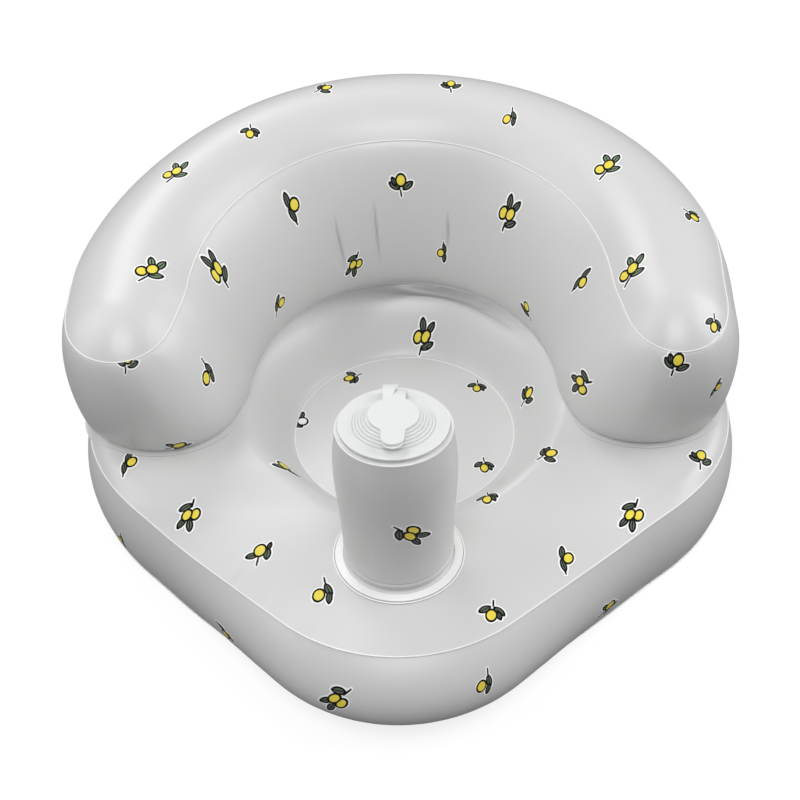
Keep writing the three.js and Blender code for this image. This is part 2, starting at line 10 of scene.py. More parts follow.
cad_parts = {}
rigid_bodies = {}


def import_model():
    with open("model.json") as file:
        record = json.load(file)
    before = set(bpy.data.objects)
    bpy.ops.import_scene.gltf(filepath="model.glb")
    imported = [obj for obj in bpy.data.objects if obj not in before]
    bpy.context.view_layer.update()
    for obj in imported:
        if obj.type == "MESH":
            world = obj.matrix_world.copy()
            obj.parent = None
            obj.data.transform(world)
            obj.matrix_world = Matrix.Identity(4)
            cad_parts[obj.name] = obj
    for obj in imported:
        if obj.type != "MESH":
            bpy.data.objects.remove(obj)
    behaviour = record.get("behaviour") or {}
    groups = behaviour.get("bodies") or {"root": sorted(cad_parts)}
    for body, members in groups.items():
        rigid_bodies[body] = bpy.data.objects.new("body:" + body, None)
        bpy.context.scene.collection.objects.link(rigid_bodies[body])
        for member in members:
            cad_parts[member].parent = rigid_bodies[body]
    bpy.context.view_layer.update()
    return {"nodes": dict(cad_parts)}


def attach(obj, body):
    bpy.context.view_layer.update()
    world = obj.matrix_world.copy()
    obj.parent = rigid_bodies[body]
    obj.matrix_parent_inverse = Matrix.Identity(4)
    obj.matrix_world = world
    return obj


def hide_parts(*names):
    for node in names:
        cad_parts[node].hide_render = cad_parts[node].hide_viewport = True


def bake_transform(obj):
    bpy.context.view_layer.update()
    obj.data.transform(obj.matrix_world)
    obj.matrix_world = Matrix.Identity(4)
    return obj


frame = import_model()
scene = bpy.context.scene


# Camera
# It looks down at the seat from the front, from a little more than arm's length,
# through a short telephoto lens. The printed sprigs are placed as it sees them.
camera_distance = 1.4
camera_tilt, camera_turn, camera_roll = np.radians((43.93, 2.68, -2.16))
camera_aim = Vector((-0.0014, -0.028, 0.110))
film_width = 36
picture_width = 800
focal_length_px = 1689.8

camera_back = Vector((math.sin(camera_turn) * math.cos(camera_tilt),
                      -math.cos(camera_turn) * math.cos(camera_tilt),
                      math.sin(camera_tilt)))
level_right = (-camera_back).cross(Vector((0, 0, 1))).normalized()
level_up = level_right.cross(-camera_back)
camera_right = level_right * math.cos(camera_roll) + level_up * math.sin(camera_roll)
camera_up = level_up * math.cos(camera_roll) - level_right * math.sin(camera_roll)
camera_place = camera_aim + camera_distance * camera_back


def add_object(name, data):
    made = bpy.data.objects.new(name, data)
    scene.collection.objects.link(made)
    return made


camera = add_object("camera", bpy.data.cameras.new("camera"))
camera.data.sensor_width = film_width
camera.data.lens = focal_length_px * film_width / picture_width
camera_axes = Matrix((camera_right, camera_up, camera_back)).transposed()
camera.matrix_world = Matrix.Translation(camera_place) @ camera_axes.to_4x4()
scene.camera = camera


# Base chamber, side wall
# A strip of soft vinyl film that stands round the pear-shaped base. Air swells it
# out between its two welds, most of all round the nose.
film_thickness = 0.0005
weld_gap = 0.0003
rear_radius, rear_centre_y = 0.270, -0.005
shoulder_radius = 0.160
nose_radius, nose_reach = 0.133, 0.268
base_seam_height = 0.078
side_swell, nose_swell = 0.007, 0.027
flank_turn = math.radians(55)
base_lean, lean_start, lean_run = 0.0038, -0.75, 0.5
shoulder_trim, trim_bearing, trim_spread = 0.0034, math.radians(-28), math.radians(12)
base_stations = 480
side_rows = 40
weld_pucker, pucker_reach, pucker_flat = 0.00014, 0.013, 0.003
pucker_waves = ((61, 1, 0), (97, 0.8, 1.7), (143, 0.6, 0.4))
cut_edge_angle = math.radians(50)
# How dark the painted shade in the crease under the back wall makes the film.
painted_shade_tone = 0.62
outer_faces = {}


def smooth(value):
    t = np.clip(value, 0, 1)
    return t * t * (3 - 2 * t)


def mix(a, b, t):
    return a + (b - a) * t


def polar(radius, angle, height):
    radius, angle, height = np.broadcast_arrays(radius, angle, height)
    return np.stack([radius * np.cos(angle), radius * np.sin(angle), height], -1)


def base_radius(angle):
    """How far the seam of the base lies from the middle of the seat, in a direction."""
    ahead, across = np.sin(angle), np.abs(np.cos(angle))
    span_x = rear_radius - shoulder_radius
    span_y = rear_centre_y - (nose_radius - nose_reach)
    spread = math.acos((nose_radius - shoulder_radius) / math.hypot(span_x, span_y))
    normal = math.atan2(span_y, span_x) - spread
    nx, ny = math.cos(normal), math.sin(normal)
    flank_start = (span_x + shoulder_radius * nx, rear_centre_y + shoulder_radius * ny)
    flank_end = (nose_radius * nx, nose_radius - nose_reach + nose_radius * ny)

    def to_arc(x, y, radius):
        along = across * x + ahead * y
        return along + np.sqrt(np.maximum(along**2 - x * x - y * y + radius**2, 0))

    flank = (nx * flank_start[0] + ny * flank_start[1]) / (nx * across + ny * ahead)
    bearing = np.arctan2(ahead, across)
    lean = base_lean * np.cos(angle) * smooth((ahead - lean_start) / lean_run)
    trim = shoulder_trim * np.exp(-((bearing - trim_bearing) / trim_spread) ** 2)
    return lean - trim + np.select(
        [bearing >= math.atan2(rear_centre_y, rear_radius),
         bearing >= math.atan2(flank_start[1], flank_start[0]),
         bearing >= math.atan2(flank_end[1], flank_end[0])],
        [to_arc(0, rear_centre_y, rear_radius),
         to_arc(span_x, rear_centre_y, shoulder_radius),
         flank],
        to_arc(0, nose_radius - nose_reach, nose_radius))


def puckers(round_share, from_weld, depth=weld_pucker):
    """Small uneven waves that the heat of a weld leaves in the film beside it. Each
    weld adds a number of its own to the share, so that no two are alike."""
    wave = sum(share * np.sin(2 * math.pi * waves * round_share + start)
               for waves, share, start in pucker_waves)
    fade = np.exp(-from_weld / pucker_reach) * (1 - np.exp(-from_weld / pucker_flat))
    return depth * wave * fade


def object_from(name, points, faces, material):
    mesh = bpy.data.meshes.new(name)
    mesh.from_pydata(np.asarray(points, float).reshape(-1, 3).tolist(), [], faces)
    mesh.shade_smooth()
    mesh.materials.append(material)
    return add_object(name, mesh)


def ring_faces(rows, stations, closed=False, upwards=False):
    """Faces between closed rings of points, each ring below the one before it."""
    faces = [(j * stations + i, (j + 1) % rows * stations + i,
              (j + 1) % rows * stations + (i + 1) % stations, j * stations + (i + 1) % stations)
             for j in range(rows if closed else rows - 1) for i in range(stations)]
    return [(a, d, c, b) for a, b, c, d in faces] if upwards else faces


def thicken(made, thickness, offset):
    wall = made.modifiers.new("wall", "SOLIDIFY")
    wall.thickness = thickness
    wall.offset = offset


def join_doubles(made):
    """Closes the poles and the middle lines, where rings meet in one point or line."""
    shape = bmesh.new()
    shape.from_mesh(made.data)
    bmesh.ops.remove_doubles(shape, verts=shape.verts, dist=1e-6)
    shape.to_mesh(made.data)
    shape.free()
    made.data.shade_smooth()
    return made


def plain_mesh_of(made):
    """The object with what its modifiers made as its own mesh."""
    depsgraph = bpy.context.evaluated_depsgraph_get()
    made_mesh = bpy.data.meshes.new_from_object(
        made.evaluated_get(depsgraph), depsgraph=depsgraph)
    made.modifiers.clear()
    made.data = made_mesh
    made_mesh.name = made.name
    return made


def film(name, rings, material):
    """A sheet of film with cut edges, through closed rings of points. Seen from
    outside, the rings run anticlockwise and follow each other downwards."""
    rings = np.array(rings)
    sheet = join_doubles(object_from(name, rings, ring_faces(*rings.shape[:2]), material))
    outer_faces[name] = sheet.data.copy()
    thicken(sheet, film_thickness, -1)
    plain_mesh_of(sheet)
    sheet.data.set_sharp_from_angle(angle=cut_edge_angle)
    return sheet


def fill(tree, node, inputs):
    """Sets or links the inputs of a node and returns its outputs."""
    for name, value in inputs.items():
        if isinstance(value, bpy.types.NodeSocket):
            tree.links.new(value, node.inputs[name])
        else:
            node.inputs[name].default_value = value
    return node.outputs


def add_node(tree, kind, inputs, **settings):
    """Adds a node with its settings and inputs and returns its outputs."""
    made = tree.nodes.new(kind)
    for name, value in settings.items():
        setattr(made, name, value)
    return fill(tree, made, inputs)


def noise(tree, scale, detail=2):
    place = add_node(tree, "ShaderNodeTexCoord", {})["Object"]
    return add_node(tree, "ShaderNodeTexNoise",
                    {"Vector": place, "Scale": scale, "Detail": detail})["Fac"]


def colour_between(tree, share, a, b):
    return add_node(tree, "ShaderNodeMix", {"Factor": share, "A": a, "B": b},
                    data_type="RGBA")["Result"]


def value_between(tree, share, low, high):
    return add_node(tree, "ShaderNodeMapRange",
                    {"Value": share, "To Min": low, "To Max": high})["Result"]


def bump(tree, height, distance, strength=1):
    return add_node(tree, "ShaderNodeBump",
                    {"Height": height, "Distance": distance, "Strength": strength})["Normal"]


def new_material(name):
    """A new material, its node tree and its shader."""
    material = bpy.data.materials.new(name)
    material.use_nodes = True
    return material, material.node_tree, material.node_tree.nodes["Principled BSDF"]


def white_vinyl(name, dark, light):
    """Soft greyish white film with a satin face and a very fine grain. Where its slack attribute
    says so, a painted shade in the colour makes it greyer."""
    material, tree, shader = new_material(name)
    cloudy = colour_between(tree, noise(tree, scale=7, detail=3), (*dark, 1), (*light, 1))
    # A painted shade, read from the slack attribute, darkens the film's colour.
    slack = add_node(tree, "ShaderNodeAttribute", {}, attribute_name="slack")["Fac"]
    fill(tree, shader, {
        "Coat Weight": 0.35, "Coat Roughness": 0.27,
        "Base Color": colour_between(tree, slack, cloudy, (*(painted_shade_tone * c for c in dark), 1)),
        "Roughness": value_between(tree, noise(tree, scale=24, detail=4), low=0.36, high=0.46),
        "Normal": bump(tree, noise(tree, scale=900), distance=0.0001, strength=0.12)})
    return material


vinyl = white_vinyl("white vinyl film", (0.595, 0.597, 0.595), (0.625, 0.626, 0.623))
base_angles = 2 * math.pi * np.arange(base_stations) / base_stations
base_edge = base_radius(base_angles)
base_share = base_angles / (2 * math.pi)
nose_share = smooth(1 - np.arccos(np.clip(-np.sin(base_angles), 0, 1)) / flank_turn)

side_low = film_thickness + weld_gap
side_high = base_seam_height - film_thickness - weld_gap
side_rings = []
for rise in np.linspace(1, 0, side_rows):
    swell = mix(side_swell, nose_swell, nose_share) * 4 * rise * (1 - rise)
    height = mix(side_low, side_high, rise)
    waves = (puckers(base_share, side_high - height)
             + puckers(base_share + 0.31, height - side_low))
    side_rings.append(polar(base_edge + swell + waves, base_angles, height))
base_side = film("base_side", side_rings, vinyl)
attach(base_side, "root")
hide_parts("base_side_wall")


# Base chamber, bottom sheet
# The flat sheet that lies on the floor, cut to the outline of the base and
# welded to the lower edge of the side wall.
bottom_rows = 14

bottom_rings = [polar(base_edge * share, base_angles, 0)
                for share in np.linspace(1, 0, bottom_rows)]
base_bottom = film("base_bottom", bottom_rings, vinyl)
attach(base_bottom, "root")
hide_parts("base_bottom_sheet")


# Base chamber, top panel
# The deck under the backrest. It dips into the seat well, lies level round the post, falls a little
# to the open front, and rolls down to its weld. Its colour holds a painted shade in the crease
# under the back wall.
deck_height, front_deck_height = 0.088, 0.081
deck_roll, front_deck_roll = 0.014, 0.050
fall_start, fall_end = 0.072, 0.128
cover_start, cover_end = math.radians(-42), math.radians(-22)
well_radius, well_height, well_slope, well_power = 0.095, 0.045, 0.044, 0.8
post_y, post_flange_radius, post_collar = -0.170, 0.050, 0.022
back_foot, side_foot = 0.148, 0.133
crevice_depth, crevice_width, crevice_peak = 0.0075, 0.019, 0.6
crevice_bearings = (25, 60, 82, 104)
# Where the painted shade under the back wall lies, by bearing: its width from the wall's foot, its
# soft edge and its strength.
painted_shade_bearings = (35, 57, 69, 80, 90, 100, 108, 116, 135)
painted_shade_widths = (0.004, 0.006, 0.008, 0.011, 0.016, 0.019, 0.020, 0.018, 0.016)
painted_shade_fades = (0.002, 0.002, 0.003, 0.004, 0.006, 0.014, 0.028, 0.036, 0.036)
painted_shade_shares = (0.0, 0.7, 0.9, 1.0, 1.0, 0.95, 0.85, 0.65, 0.0)
deck_rows = 96
faint_pucker = weld_pucker / 3


def keep_values(mesh, name, kind, values):
    """Keeps a value with each point of a mesh, under a name."""
    kept = mesh.attributes.new(name, kind, "POINT")
    kept.data.foreach_set("vector" if kind == "FLOAT_VECTOR" else "value", values)


def deck_z(x, y):
    """Height of the deck at a place."""
    radius, angle = np.hypot(x, y), np.arctan2(y, x)
    fall = smooth((-y - fall_start) / (fall_end - fall_start))
    deck = mix(deck_height, front_deck_height, fall)
    start, full, fades, end = np.radians(crevice_bearings)
    at_back = smooth((angle - start) / (full - start)) * smooth((end - angle) / (end - fades))
    off_wall = (mix(side_foot, back_foot, np.sin(angle) ** 2) - radius) / crevice_width
    hollow = np.sin(math.pi * np.clip(off_wall, 0, 1) ** crevice_peak) ** 2
    deck = deck - crevice_depth * at_back * hollow
    up_slope = np.clip((radius - well_radius) / well_slope, 0, 1) ** well_power
    dipped = mix(well_height, deck, smooth(up_slope))
    off_post = np.hypot(x, y - post_y) - post_flange_radius
    level = mix(dipped, front_deck_height, 1 - smooth(off_post / post_collar))
    bearing = np.arctan2(np.sin(angle), np.abs(np.cos(angle)))
    covered = smooth((bearing - cover_start) / (cover_end - cover_start))
    run = mix(front_deck_roll, deck_roll, covered)
    roll = np.clip(1 - (base_radius(angle) - radius) / run, 0, 1)
    return mix(level, base_seam_height, roll * roll)


deck_rings = []
for share in np.linspace(0, 1, deck_rows):
    ring = polar(mix(well_radius, base_edge, share), base_angles, 0)
    ring[:, 2] = deck_z(ring[:, 0], ring[:, 1])
    to_rim = (1 - share) * (base_edge - well_radius)
    ring[:, 2] += puckers(base_share + 0.17, to_rim)
    ring[:, 2] += puckers(base_share + 0.4, share * (base_edge - well_radius), faint_pucker)
    deck_rings.append(ring)
base_top = film("base_top", deck_rings, vinyl)

# Painted shade: the deck is painted darker in the crease under the back wall, where the wall shades
# it, wider and softer towards the left.
deck_points = np.array([v.co for v in base_top.data.vertices])
deck_radius = np.hypot(deck_points[:, 0], deck_points[:, 1])
deck_bearing = np.arctan2(deck_points[:, 1], deck_points[:, 0])
deck_degrees = np.degrees(deck_bearing)
to_wall = mix(side_foot, back_foot, np.sin(deck_bearing) ** 2) - deck_radius
painted_shade_middle = np.interp(deck_degrees, painted_shade_bearings, painted_shade_widths)
painted_shade_fade = np.interp(deck_degrees, painted_shade_bearings, painted_shade_fades)
slack = (np.interp(deck_degrees, painted_shade_bearings, painted_shade_shares)
         * (1 - smooth((to_wall - painted_shade_middle) / painted_shade_fade + 0.5)))
keep_values(base_top.data, "slack", "FLOAT", slack.tolist())
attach(base_top, "root")
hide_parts("base_top_panel")


# Seat floor
# A round sheet welded into the well. The web under it holds it down, and the
# air lifts its middle a little.
seat_floor_crown = 0.005
seat_floor_rows = 30

# Painted light: the seat floor is the same film painted lighter, to stand in for light in the well.
painted_light_floor_vinyl = white_vinyl("bright vinyl film", (0.69, 0.692, 0.69), (0.72, 0.721, 0.719))
floor_rings = []
for share in np.linspace(0, 1, seat_floor_rows):
    radius = (well_radius - weld_gap) * share
    height = well_height + seat_floor_crown * (1 - share**2)
    waves = puckers(base_share, well_radius - radius, faint_pucker) * share
    floor_rings.append(polar(radius, base_angles, height + waves))
seat_floor = film("seat_floor", floor_rings, painted_light_floor_vinyl)
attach(seat_floor, "root")
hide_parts("seat_floor_disc")


# Tether web
# A ring of plain film inside the base, welded to the seat floor above and to the
# bottom sheet below. Round holes let the air past it.
web_hole_radius = 0.009
web_hole_count = 6
web_hole_steps = 48
web_rows = 6

web_radius = well_radius - weld_gap
web_low, web_high = film_thickness + weld_gap, well_height - film_thickness - weld_gap
panel_half = math.pi * web_radius / web_hole_count
web_points, web_faces = [], []
for panel in range(web_hole_count):
    first = len(web_points)
    for step in range(web_hole_steps):
        turn = 2 * math.pi * step / web_hole_steps
        hole = np.array((math.cos(turn), math.sin(turn))) * web_hole_radius
        half = np.array((panel_half, (web_high - web_low) / 2))
        rim = hole / np.abs(hole / half).max()
        for share in np.linspace(0, 1, web_rows):
            along, up = mix(hole, rim, share)
            bearing = (along + (2 * panel + 1) * panel_half) / web_radius
            web_points.append(polar(web_radius, bearing, (web_low + web_high) / 2 + up))
    for step in range(web_hole_steps):
        for row in range(web_rows - 1):
            a = first + step * web_rows + row
            b = first + (step + 1) % web_hole_steps * web_rows + row
            web_faces.append((a, a + 1, b + 1, b))
tether_web = join_doubles(object_from("tether_web", web_points, web_faces, vinyl))
thicken(tether_web, film_thickness, -1)
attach(tether_web, "root")
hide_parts("seat_tether_web")


# Backrest, side wall
# One long strip that goes round the outside and the inside of the horseshoe and
# round both arm tips. It leans out to its top weld and swells with the air.
foot_line = {"inner_side": side_foot, "inner_back": back_foot, "outer": 0.263,
             "tip_x": 0.202, "tip_y": -0.016, "tip_half": 0.062, "tip_reach": 0.047,
             "tuck": {"left": 0, "right": 0}}
seam_line = {"inner_side": 0.172, "inner_back": 0.181, "outer": 0.267,
             "tip_x": 0.224, "tip_y": -0.024, "tip_half": 0.045, "tip_reach": 0.049,
             "tuck": {"left": 0.003, "right": 0.009}}
tip_seam_height, back_seam_height = 0.198, 0.232
outer_swell, inner_swell, tip_swell = 0.008, 0.013, 0.014
wall_roundness = 0.7
wide_step, fine_step = 0.5, 0.25
creases_start, creases_end = 72, 114
back_turns = np.radians(np.concatenate([
    np.arange(0, creases_start, wide_step), np.arange(creases_start, creases_end, fine_step),
    np.arange(creases_end, 180 + fine_step, wide_step)]))
arm_steps, tip_steps = 10, 60
wall_rows = 44
tension_spread, tension_end = 5, 0.100
crease_depth, crease_width, crease_power = 0.0024, 0.0010, 0.7
crease_edge_share, crease_edge_place = 0.4, 2
askew = math.radians(1.0)
tuck_start, tuck_full = 0.190, 0.0
shoulder_power = 5
flat_depth, flat_turn, flat_spread = 0.0048, math.radians(143), math.radians(23)
side_bulges = {"left": (0.003, 0.030, 0.050), "right": (0.005, 0.065, 0.055)}
creases = ((113.6, 0.62, 0.20, -2.0), (99.9, 0.66, 0.20, -1.0), (75.4, 0.58, 0.34, -0.8))


def horseshoe(line, inset=0.0):
    """The outline of the backrest, anticlockwise. Inset 1 is its middle line."""
    inner = mix(line["inner_side"], line["inner_back"], np.sin(back_turns) ** 2)
    flat = flat_depth * np.exp(-((back_turns - flat_turn) / flat_spread) ** 2)
    outer = line["outer"] - flat
    share = np.linspace(0, 1, arm_steps + 1)[1:]
    flare = smooth(share)
    arm_half = (line["outer"] - line["inner_side"]) / 2
    arm_middle = (line["outer"] + line["inner_side"]) / 2
    bend = math.pi * np.arange(1, tip_steps) / tip_steps

    def arc(out):
        radius = (outer + inner + out * (1 - inset) * (outer - inner)) / 2
        return polar(radius, back_turns, 0)[:, :2]

    def arm(side, out):
        across = out * (1 - inset) * mix(arm_half, line["tip_half"], flare)
        x = side * (mix(arm_middle, line["tip_x"], flare) + across)
        return np.stack([x, line["tip_y"] * share], -1)

    def tip(side):
        x = side * (line["tip_x"] + line["tip_half"] * np.cos(bend) * (1 - inset))
        y = line["tip_y"] - line["tip_reach"] * np.sin(bend) * (1 - inset)
        return np.stack([x, y], -1)

    drawn = np.concatenate([arc(1), arm(-1, 1), tip(-1), arm(-1, -1)[::-1],
                            arc(-1)[::-1], arm(1, -1), tip(1)[::-1], arm(1, 1)[::-1]])
    near = np.arange(-3 * tension_spread, 3 * tension_spread + 1)
    pull = np.exp(-(near / tension_spread) ** 2 / 2)
    eased = sum(w * np.roll(drawn, step, 0) for w, step in zip(pull / pull.sum(), near))
    at_arms = 1 - smooth((drawn[:, 1:] - tension_end / 2) / (tension_end / 2))
    x, y = mix(drawn, eased, at_arms).T
    bulges = {side: far * np.exp(-((y - middle) / spread) ** 2)
              for side, (far, middle, spread) in side_bulges.items()}
    bulge = np.where(x > 0, bulges["right"], -bulges["left"])
    tuck = (np.where(x > 0, line["tuck"]["right"], -line["tuck"]["left"])
            * smooth((tuck_start - y) / (tuck_start - tuck_full)))
    to_outside = (np.abs(x) - line["inner_side"]) / (2 * arm_half)
    x = x + (bulge - tuck) * np.clip(to_outside, 0, 1)
    return np.stack([x * math.cos(askew) - y * math.sin(askew),
                     x * math.sin(askew) + y * math.cos(askew)], -1)


def round_shares(outline):
    """How far round a closed outline each of its points lies, from 0 to 1."""
    steps = np.linalg.norm(np.roll(outline, -1, 0) - outline, axis=1)
    return (np.cumsum(steps) - steps[0]) / steps.sum()


def outward(outline):
    """Level directions that point away from the inside of a closed outline."""
    along = np.roll(outline, -1, 0) - np.roll(outline, 1, 0)
    normal = np.stack([along[:, 1], -along[:, 0]], -1)
    return normal / np.linalg.norm(normal, axis=1, keepdims=True)


def seam_z(y):
    front = seam_line["tip_y"] - seam_line["tip_reach"]
    return mix(tip_seam_height, back_seam_height, (y - front) / (seam_line["outer"] - front))


def creased(x, y, rise):
    """Short sharp folds in the film on the inside of the back."""
    depth = 0
    for turn, top, bottom, lean in creases:
        turned = np.degrees(np.arctan2(y, x)) - turn - lean * (top - rise) / (top - bottom)
        off = np.radians(turned) * np.hypot(x, y) / crease_width
        along = np.clip((top - rise) / (top - bottom), 0, 1)
        fold = np.sin(math.pi * along)
        edge = crease_edge_share * np.exp(-((off - crease_edge_place) ** 2))
        depth = depth + crease_depth * (np.exp(-off**2) * fold**crease_power - edge * fold)
    return depth


foot = horseshoe(foot_line)
seam = horseshoe(seam_line)
untucked_seam = horseshoe({**seam_line, "tuck": {"left": 0, "right": 0}})
wall_out = outward(mix(foot, seam, 0.5))
wall_share = round_shares(seam)
facing = (wall_out * seam).sum(1) / np.linalg.norm(seam, axis=1)
full_swell = mix(tip_swell, np.where(facing > 0, outer_swell, inner_swell), np.abs(facing))
on_inside = (facing < -0.5) & (seam[:, 1] > 0)

wall_rings = []
for rise in (1 + np.cos(np.linspace(0, math.pi, wall_rows))) / 2:
    swell = full_swell * (4 * rise * (1 - rise)) ** wall_roundness
    place = mix(foot, untucked_seam, rise) + wall_out * swell[:, None]
    place += (seam - untucked_seam) * rise**shoulder_power
    foot_z = deck_z(foot[:, 0], foot[:, 1]) + film_thickness + 2 * weld_gap
    height = mix(foot_z, seam_z(seam[:, 1]) - film_thickness - weld_gap, rise)
    wall_height = seam_z(seam[:, 1]) - foot_z
    waves = (puckers(wall_share, (1 - rise) * wall_height)
             + puckers(wall_share + 0.4, rise * wall_height))
    waves -= np.where(on_inside, creased(place[:, 0], place[:, 1], rise), 0)
    place = place + wall_out * waves[:, None]
    wall_rings.append(np.column_stack([place, height]))
backrest_side = film("backrest_side", wall_rings, vinyl)
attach(backrest_side, "root")
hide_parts("backrest_side_wall")


# Backrest, top panel
# The crowned sheet on top of the horseshoe, highest along its middle line.
top_crown = 0.022
top_rows = 26
panel_half_width = (seam_line["outer"] - seam_line["inner_side"]) / 2
crown_radius = (panel_half_width**2 + top_crown**2) / (2 * top_crown)

top_rings = []
for inset in np.linspace(1, 0, top_rows):
    place = horseshoe(seam_line, inset)
    crown = (math.sqrt(crown_radius**2 - (panel_half_width * (1 - inset)) ** 2)
             - (crown_radius - top_crown))
    waves = puckers(wall_share, inset * panel_half_width, faint_pucker) * (1 - inset)
    height = seam_z(place[:, 1]) + crown + waves
    top_rings.append(np.column_stack([place, height]))
backrest_top = film("backrest_top", top_rings, vinyl)
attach(backrest_top, "root")
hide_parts("backrest_top_panel")


# Backrest, bottom panel
# The sheet that closes the horseshoe from below. It is welded down to the deck,
# and a flange of it shows round the foot of the wall, but not towards the well.
foot_flange, inner_flange = 0.006, 0.0004
towards_well, well_turn_run = 0.35, 0.5
arm_front, arm_front_run = -0.045, 0.03
bottom_panel_rows = 12

foot_out = outward(foot)
foot_facing = (foot_out * foot).sum(1) / np.linalg.norm(foot, axis=1)
well_side = (smooth((towards_well - foot_facing) / well_turn_run)
             * smooth((foot[:, 1] - arm_front) / arm_front_run))
flange_width = mix(foot_flange, inner_flange, well_side)[:, None]
bottom_panel_rings = []
insets = np.linspace(1, 0, bottom_panel_rows)
for inset, flange in [*((inset, 0) for inset in insets), (0, 0.5), (0, 1)]:
    place = horseshoe(foot_line, inset) + flange * flange_width * foot_out
    height = deck_z(place[:, 0], place[:, 1]) + weld_gap + film_thickness
    bottom_panel_rings.append(np.column_stack([place, height]))
backrest_bottom = film("backrest_bottom", bottom_panel_rings, vinyl)
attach(backrest_bottom, "root")
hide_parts("backrest_bottom_panel")


# Welds
# Where two sheets meet, a hot bar melts them into one narrow lip, whiter and
# harder than the film. It runs along every seam.
lip_width, lip_thickness, lip_root = 0.0012, 0.0008, 0.0004
inner_lip_share, lip_corner_share = 0.06, 0.4
inner_facing, inner_facing_run = 0.2, 0.6
lip_thins_y, lip_thins_run = -0.12, 0.05


def weld_material():
    material, tree, shader = new_material("melted vinyl weld")
    fill(tree, shader, {
        "Base Color": (0.86, 0.86, 0.855, 1),
        "Roughness": value_between(tree, noise(tree, scale=160), low=0.28, high=0.45)})
    return material


weld_vinyl = weld_material()


def new_tree(name, kinds, output):
    """A node tree with named inputs, the inputs, and the sockets that they come from."""
    tree = bpy.data.node_groups.new(name, "GeometryNodeTree")
    inputs = {label: tree.interface.new_socket(
        label, in_out="INPUT", socket_type="NodeSocket" + kind) for label, kind in kinds.items()}
    tree.interface.new_socket(output, in_out="OUTPUT", socket_type="NodeSocketGeometry")
    return tree, inputs, tree.nodes.new("NodeGroupInput").outputs


def apply_tree(made, tree, inputs, values):
    """Gives an object the mesh that a node tree makes from it and from the values."""
    maker = made.modifiers.new(tree.name, "NODES")
    maker.node_group = tree
    for label, value in values.items():
        maker[inputs[label].identifier] = value
    return plain_mesh_of(made)


def maths(tree, operation, a, b):
    return add_node(tree, "ShaderNodeMath", {0: a, 1: b}, operation=operation)["Value"]


def lip_tree():
    """Sweeps a flat rounded section along a closed seam line, on its outer side."""
    tree, inputs, given = new_tree("weld lip", {
        "Seam": "Geometry", "Width": "Float", "Thickness": "Float", "Root": "Float"}, "Lip")
    line = add_node(tree, "GeometryNodeMeshToCurve", {"Mesh": given["Seam"]})["Curve"]
    upright = add_node(tree, "GeometryNodeSetCurveNormal", {"Curve": line}, mode="Z_UP")["Curve"]
    section = add_node(tree, "GeometryNodeCurvePrimitiveQuadrilateral",
                       {"Width": given["Width"], "Height": given["Thickness"]})["Curve"]
    corner_radius = maths(tree, "MULTIPLY", given["Thickness"], lip_corner_share)
    rounded = add_node(tree, "GeometryNodeFilletCurve", {
        "Curve": section, "Radius": corner_radius, "Count": 2}, mode="POLY")["Curve"]
    half_width = maths(tree, "MULTIPLY", given["Width"], 0.5)
    outwards = maths(tree, "SUBTRACT", half_width, given["Root"])
    offset = add_node(tree, "ShaderNodeCombineXYZ", {"X": outwards})["Vector"]
    moved = add_node(tree, "GeometryNodeTransform",
                     {"Geometry": rounded, "Translation": offset})["Geometry"]
    sweep = add_node(tree, "GeometryNodeCurveToMesh",
                     {"Curve": upright, "Profile Curve": moved})["Mesh"]
    shaded = add_node(tree, "GeometryNodeSetShadeSmooth", {"Geometry": sweep})["Geometry"]
    real = add_node(tree, "GeometryNodeRealizeInstances", {"Geometry": shaded})["Geometry"]
    painted = add_node(tree, "GeometryNodeSetMaterial",
                       {"Geometry": real, "Material": weld_vinyl})["Geometry"]
    add_node(tree, "NodeGroupOutput", {"Lip": painted})
    return tree, inputs


weld_lip_tree, lip_inputs = lip_tree()


def weld_lip(name, line, width=lip_width, thickness=lip_thickness, root=lip_root, fullness=1):
    """A weld lip on the outer side of a closed line of points."""
    mesh = bpy.data.meshes.new(name)
    count = len(line)
    mesh.from_pydata(np.asarray(line).tolist(), [(i, (i + 1) % count) for i in range(count)], [])
    keep_values(mesh, "radius", "FLOAT", np.broadcast_to(fullness, count).astype(float).tolist())
    made = apply_tree(add_object(name, mesh), weld_lip_tree, lip_inputs,
                      {"Width": width, "Thickness": thickness, "Root": root})
    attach(made, "root")
    return made


def at_height(outline, height):
    return np.column_stack([outline, np.broadcast_to(height, len(outline))])


base_outline = polar(base_edge, base_angles, 0)[:, :2]
weld_lip("weld_base_top", at_height(base_outline, base_seam_height - film_thickness / 2))
weld_lip("weld_base_bottom", at_height(base_outline, film_thickness + weld_gap / 2))
inner_seam = (smooth((inner_facing - facing) / inner_facing_run)
              * smooth((seam[:, 1] - lip_thins_y) / lip_thins_run))
weld_lip("weld_backrest_top", at_height(seam, seam_z(seam[:, 1]) - film_thickness / 2),
         width=0.0010, thickness=0.0007, fullness=mix(1, inner_lip_share, inner_seam))
foot_weld_z = deck_z(foot[:, 0], foot[:, 1]) + 2 * film_thickness + weld_gap
weld_lip("weld_backrest_foot", at_height(foot, foot_weld_z), width=0.0010, thickness=0.0006,
         fullness=mix(1, inner_lip_share, well_side))
well_ring = polar(well_radius, base_angles, well_height)
weld_lip("weld_seat_floor", well_ring, width=0.0010, thickness=0.0008, root=0.0007)


# Post, foot sheet
# A round sheet welded to the deck round the outlet valve. The sleeve of the post
# is welded to its rim.
post_stations = 192
post_angles = 2 * math.pi * np.arange(post_stations) / post_stations
foot_sheet_z = front_deck_height + weld_gap
outlet_bore = 0.0077
foot_sheet_rows = 8


def about_post(radius, height):
    ring = polar(radius, post_angles, height)
    ring[:, 1] += post_y
    return ring


foot_rings = [about_post(radius, foot_sheet_z + film_thickness)
              for radius in np.linspace(outlet_bore, post_flange_radius, foot_sheet_rows)]
post_foot = film("post_foot", foot_rings, vinyl)
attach(post_foot, "root")
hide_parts("pump_foot_sheet")
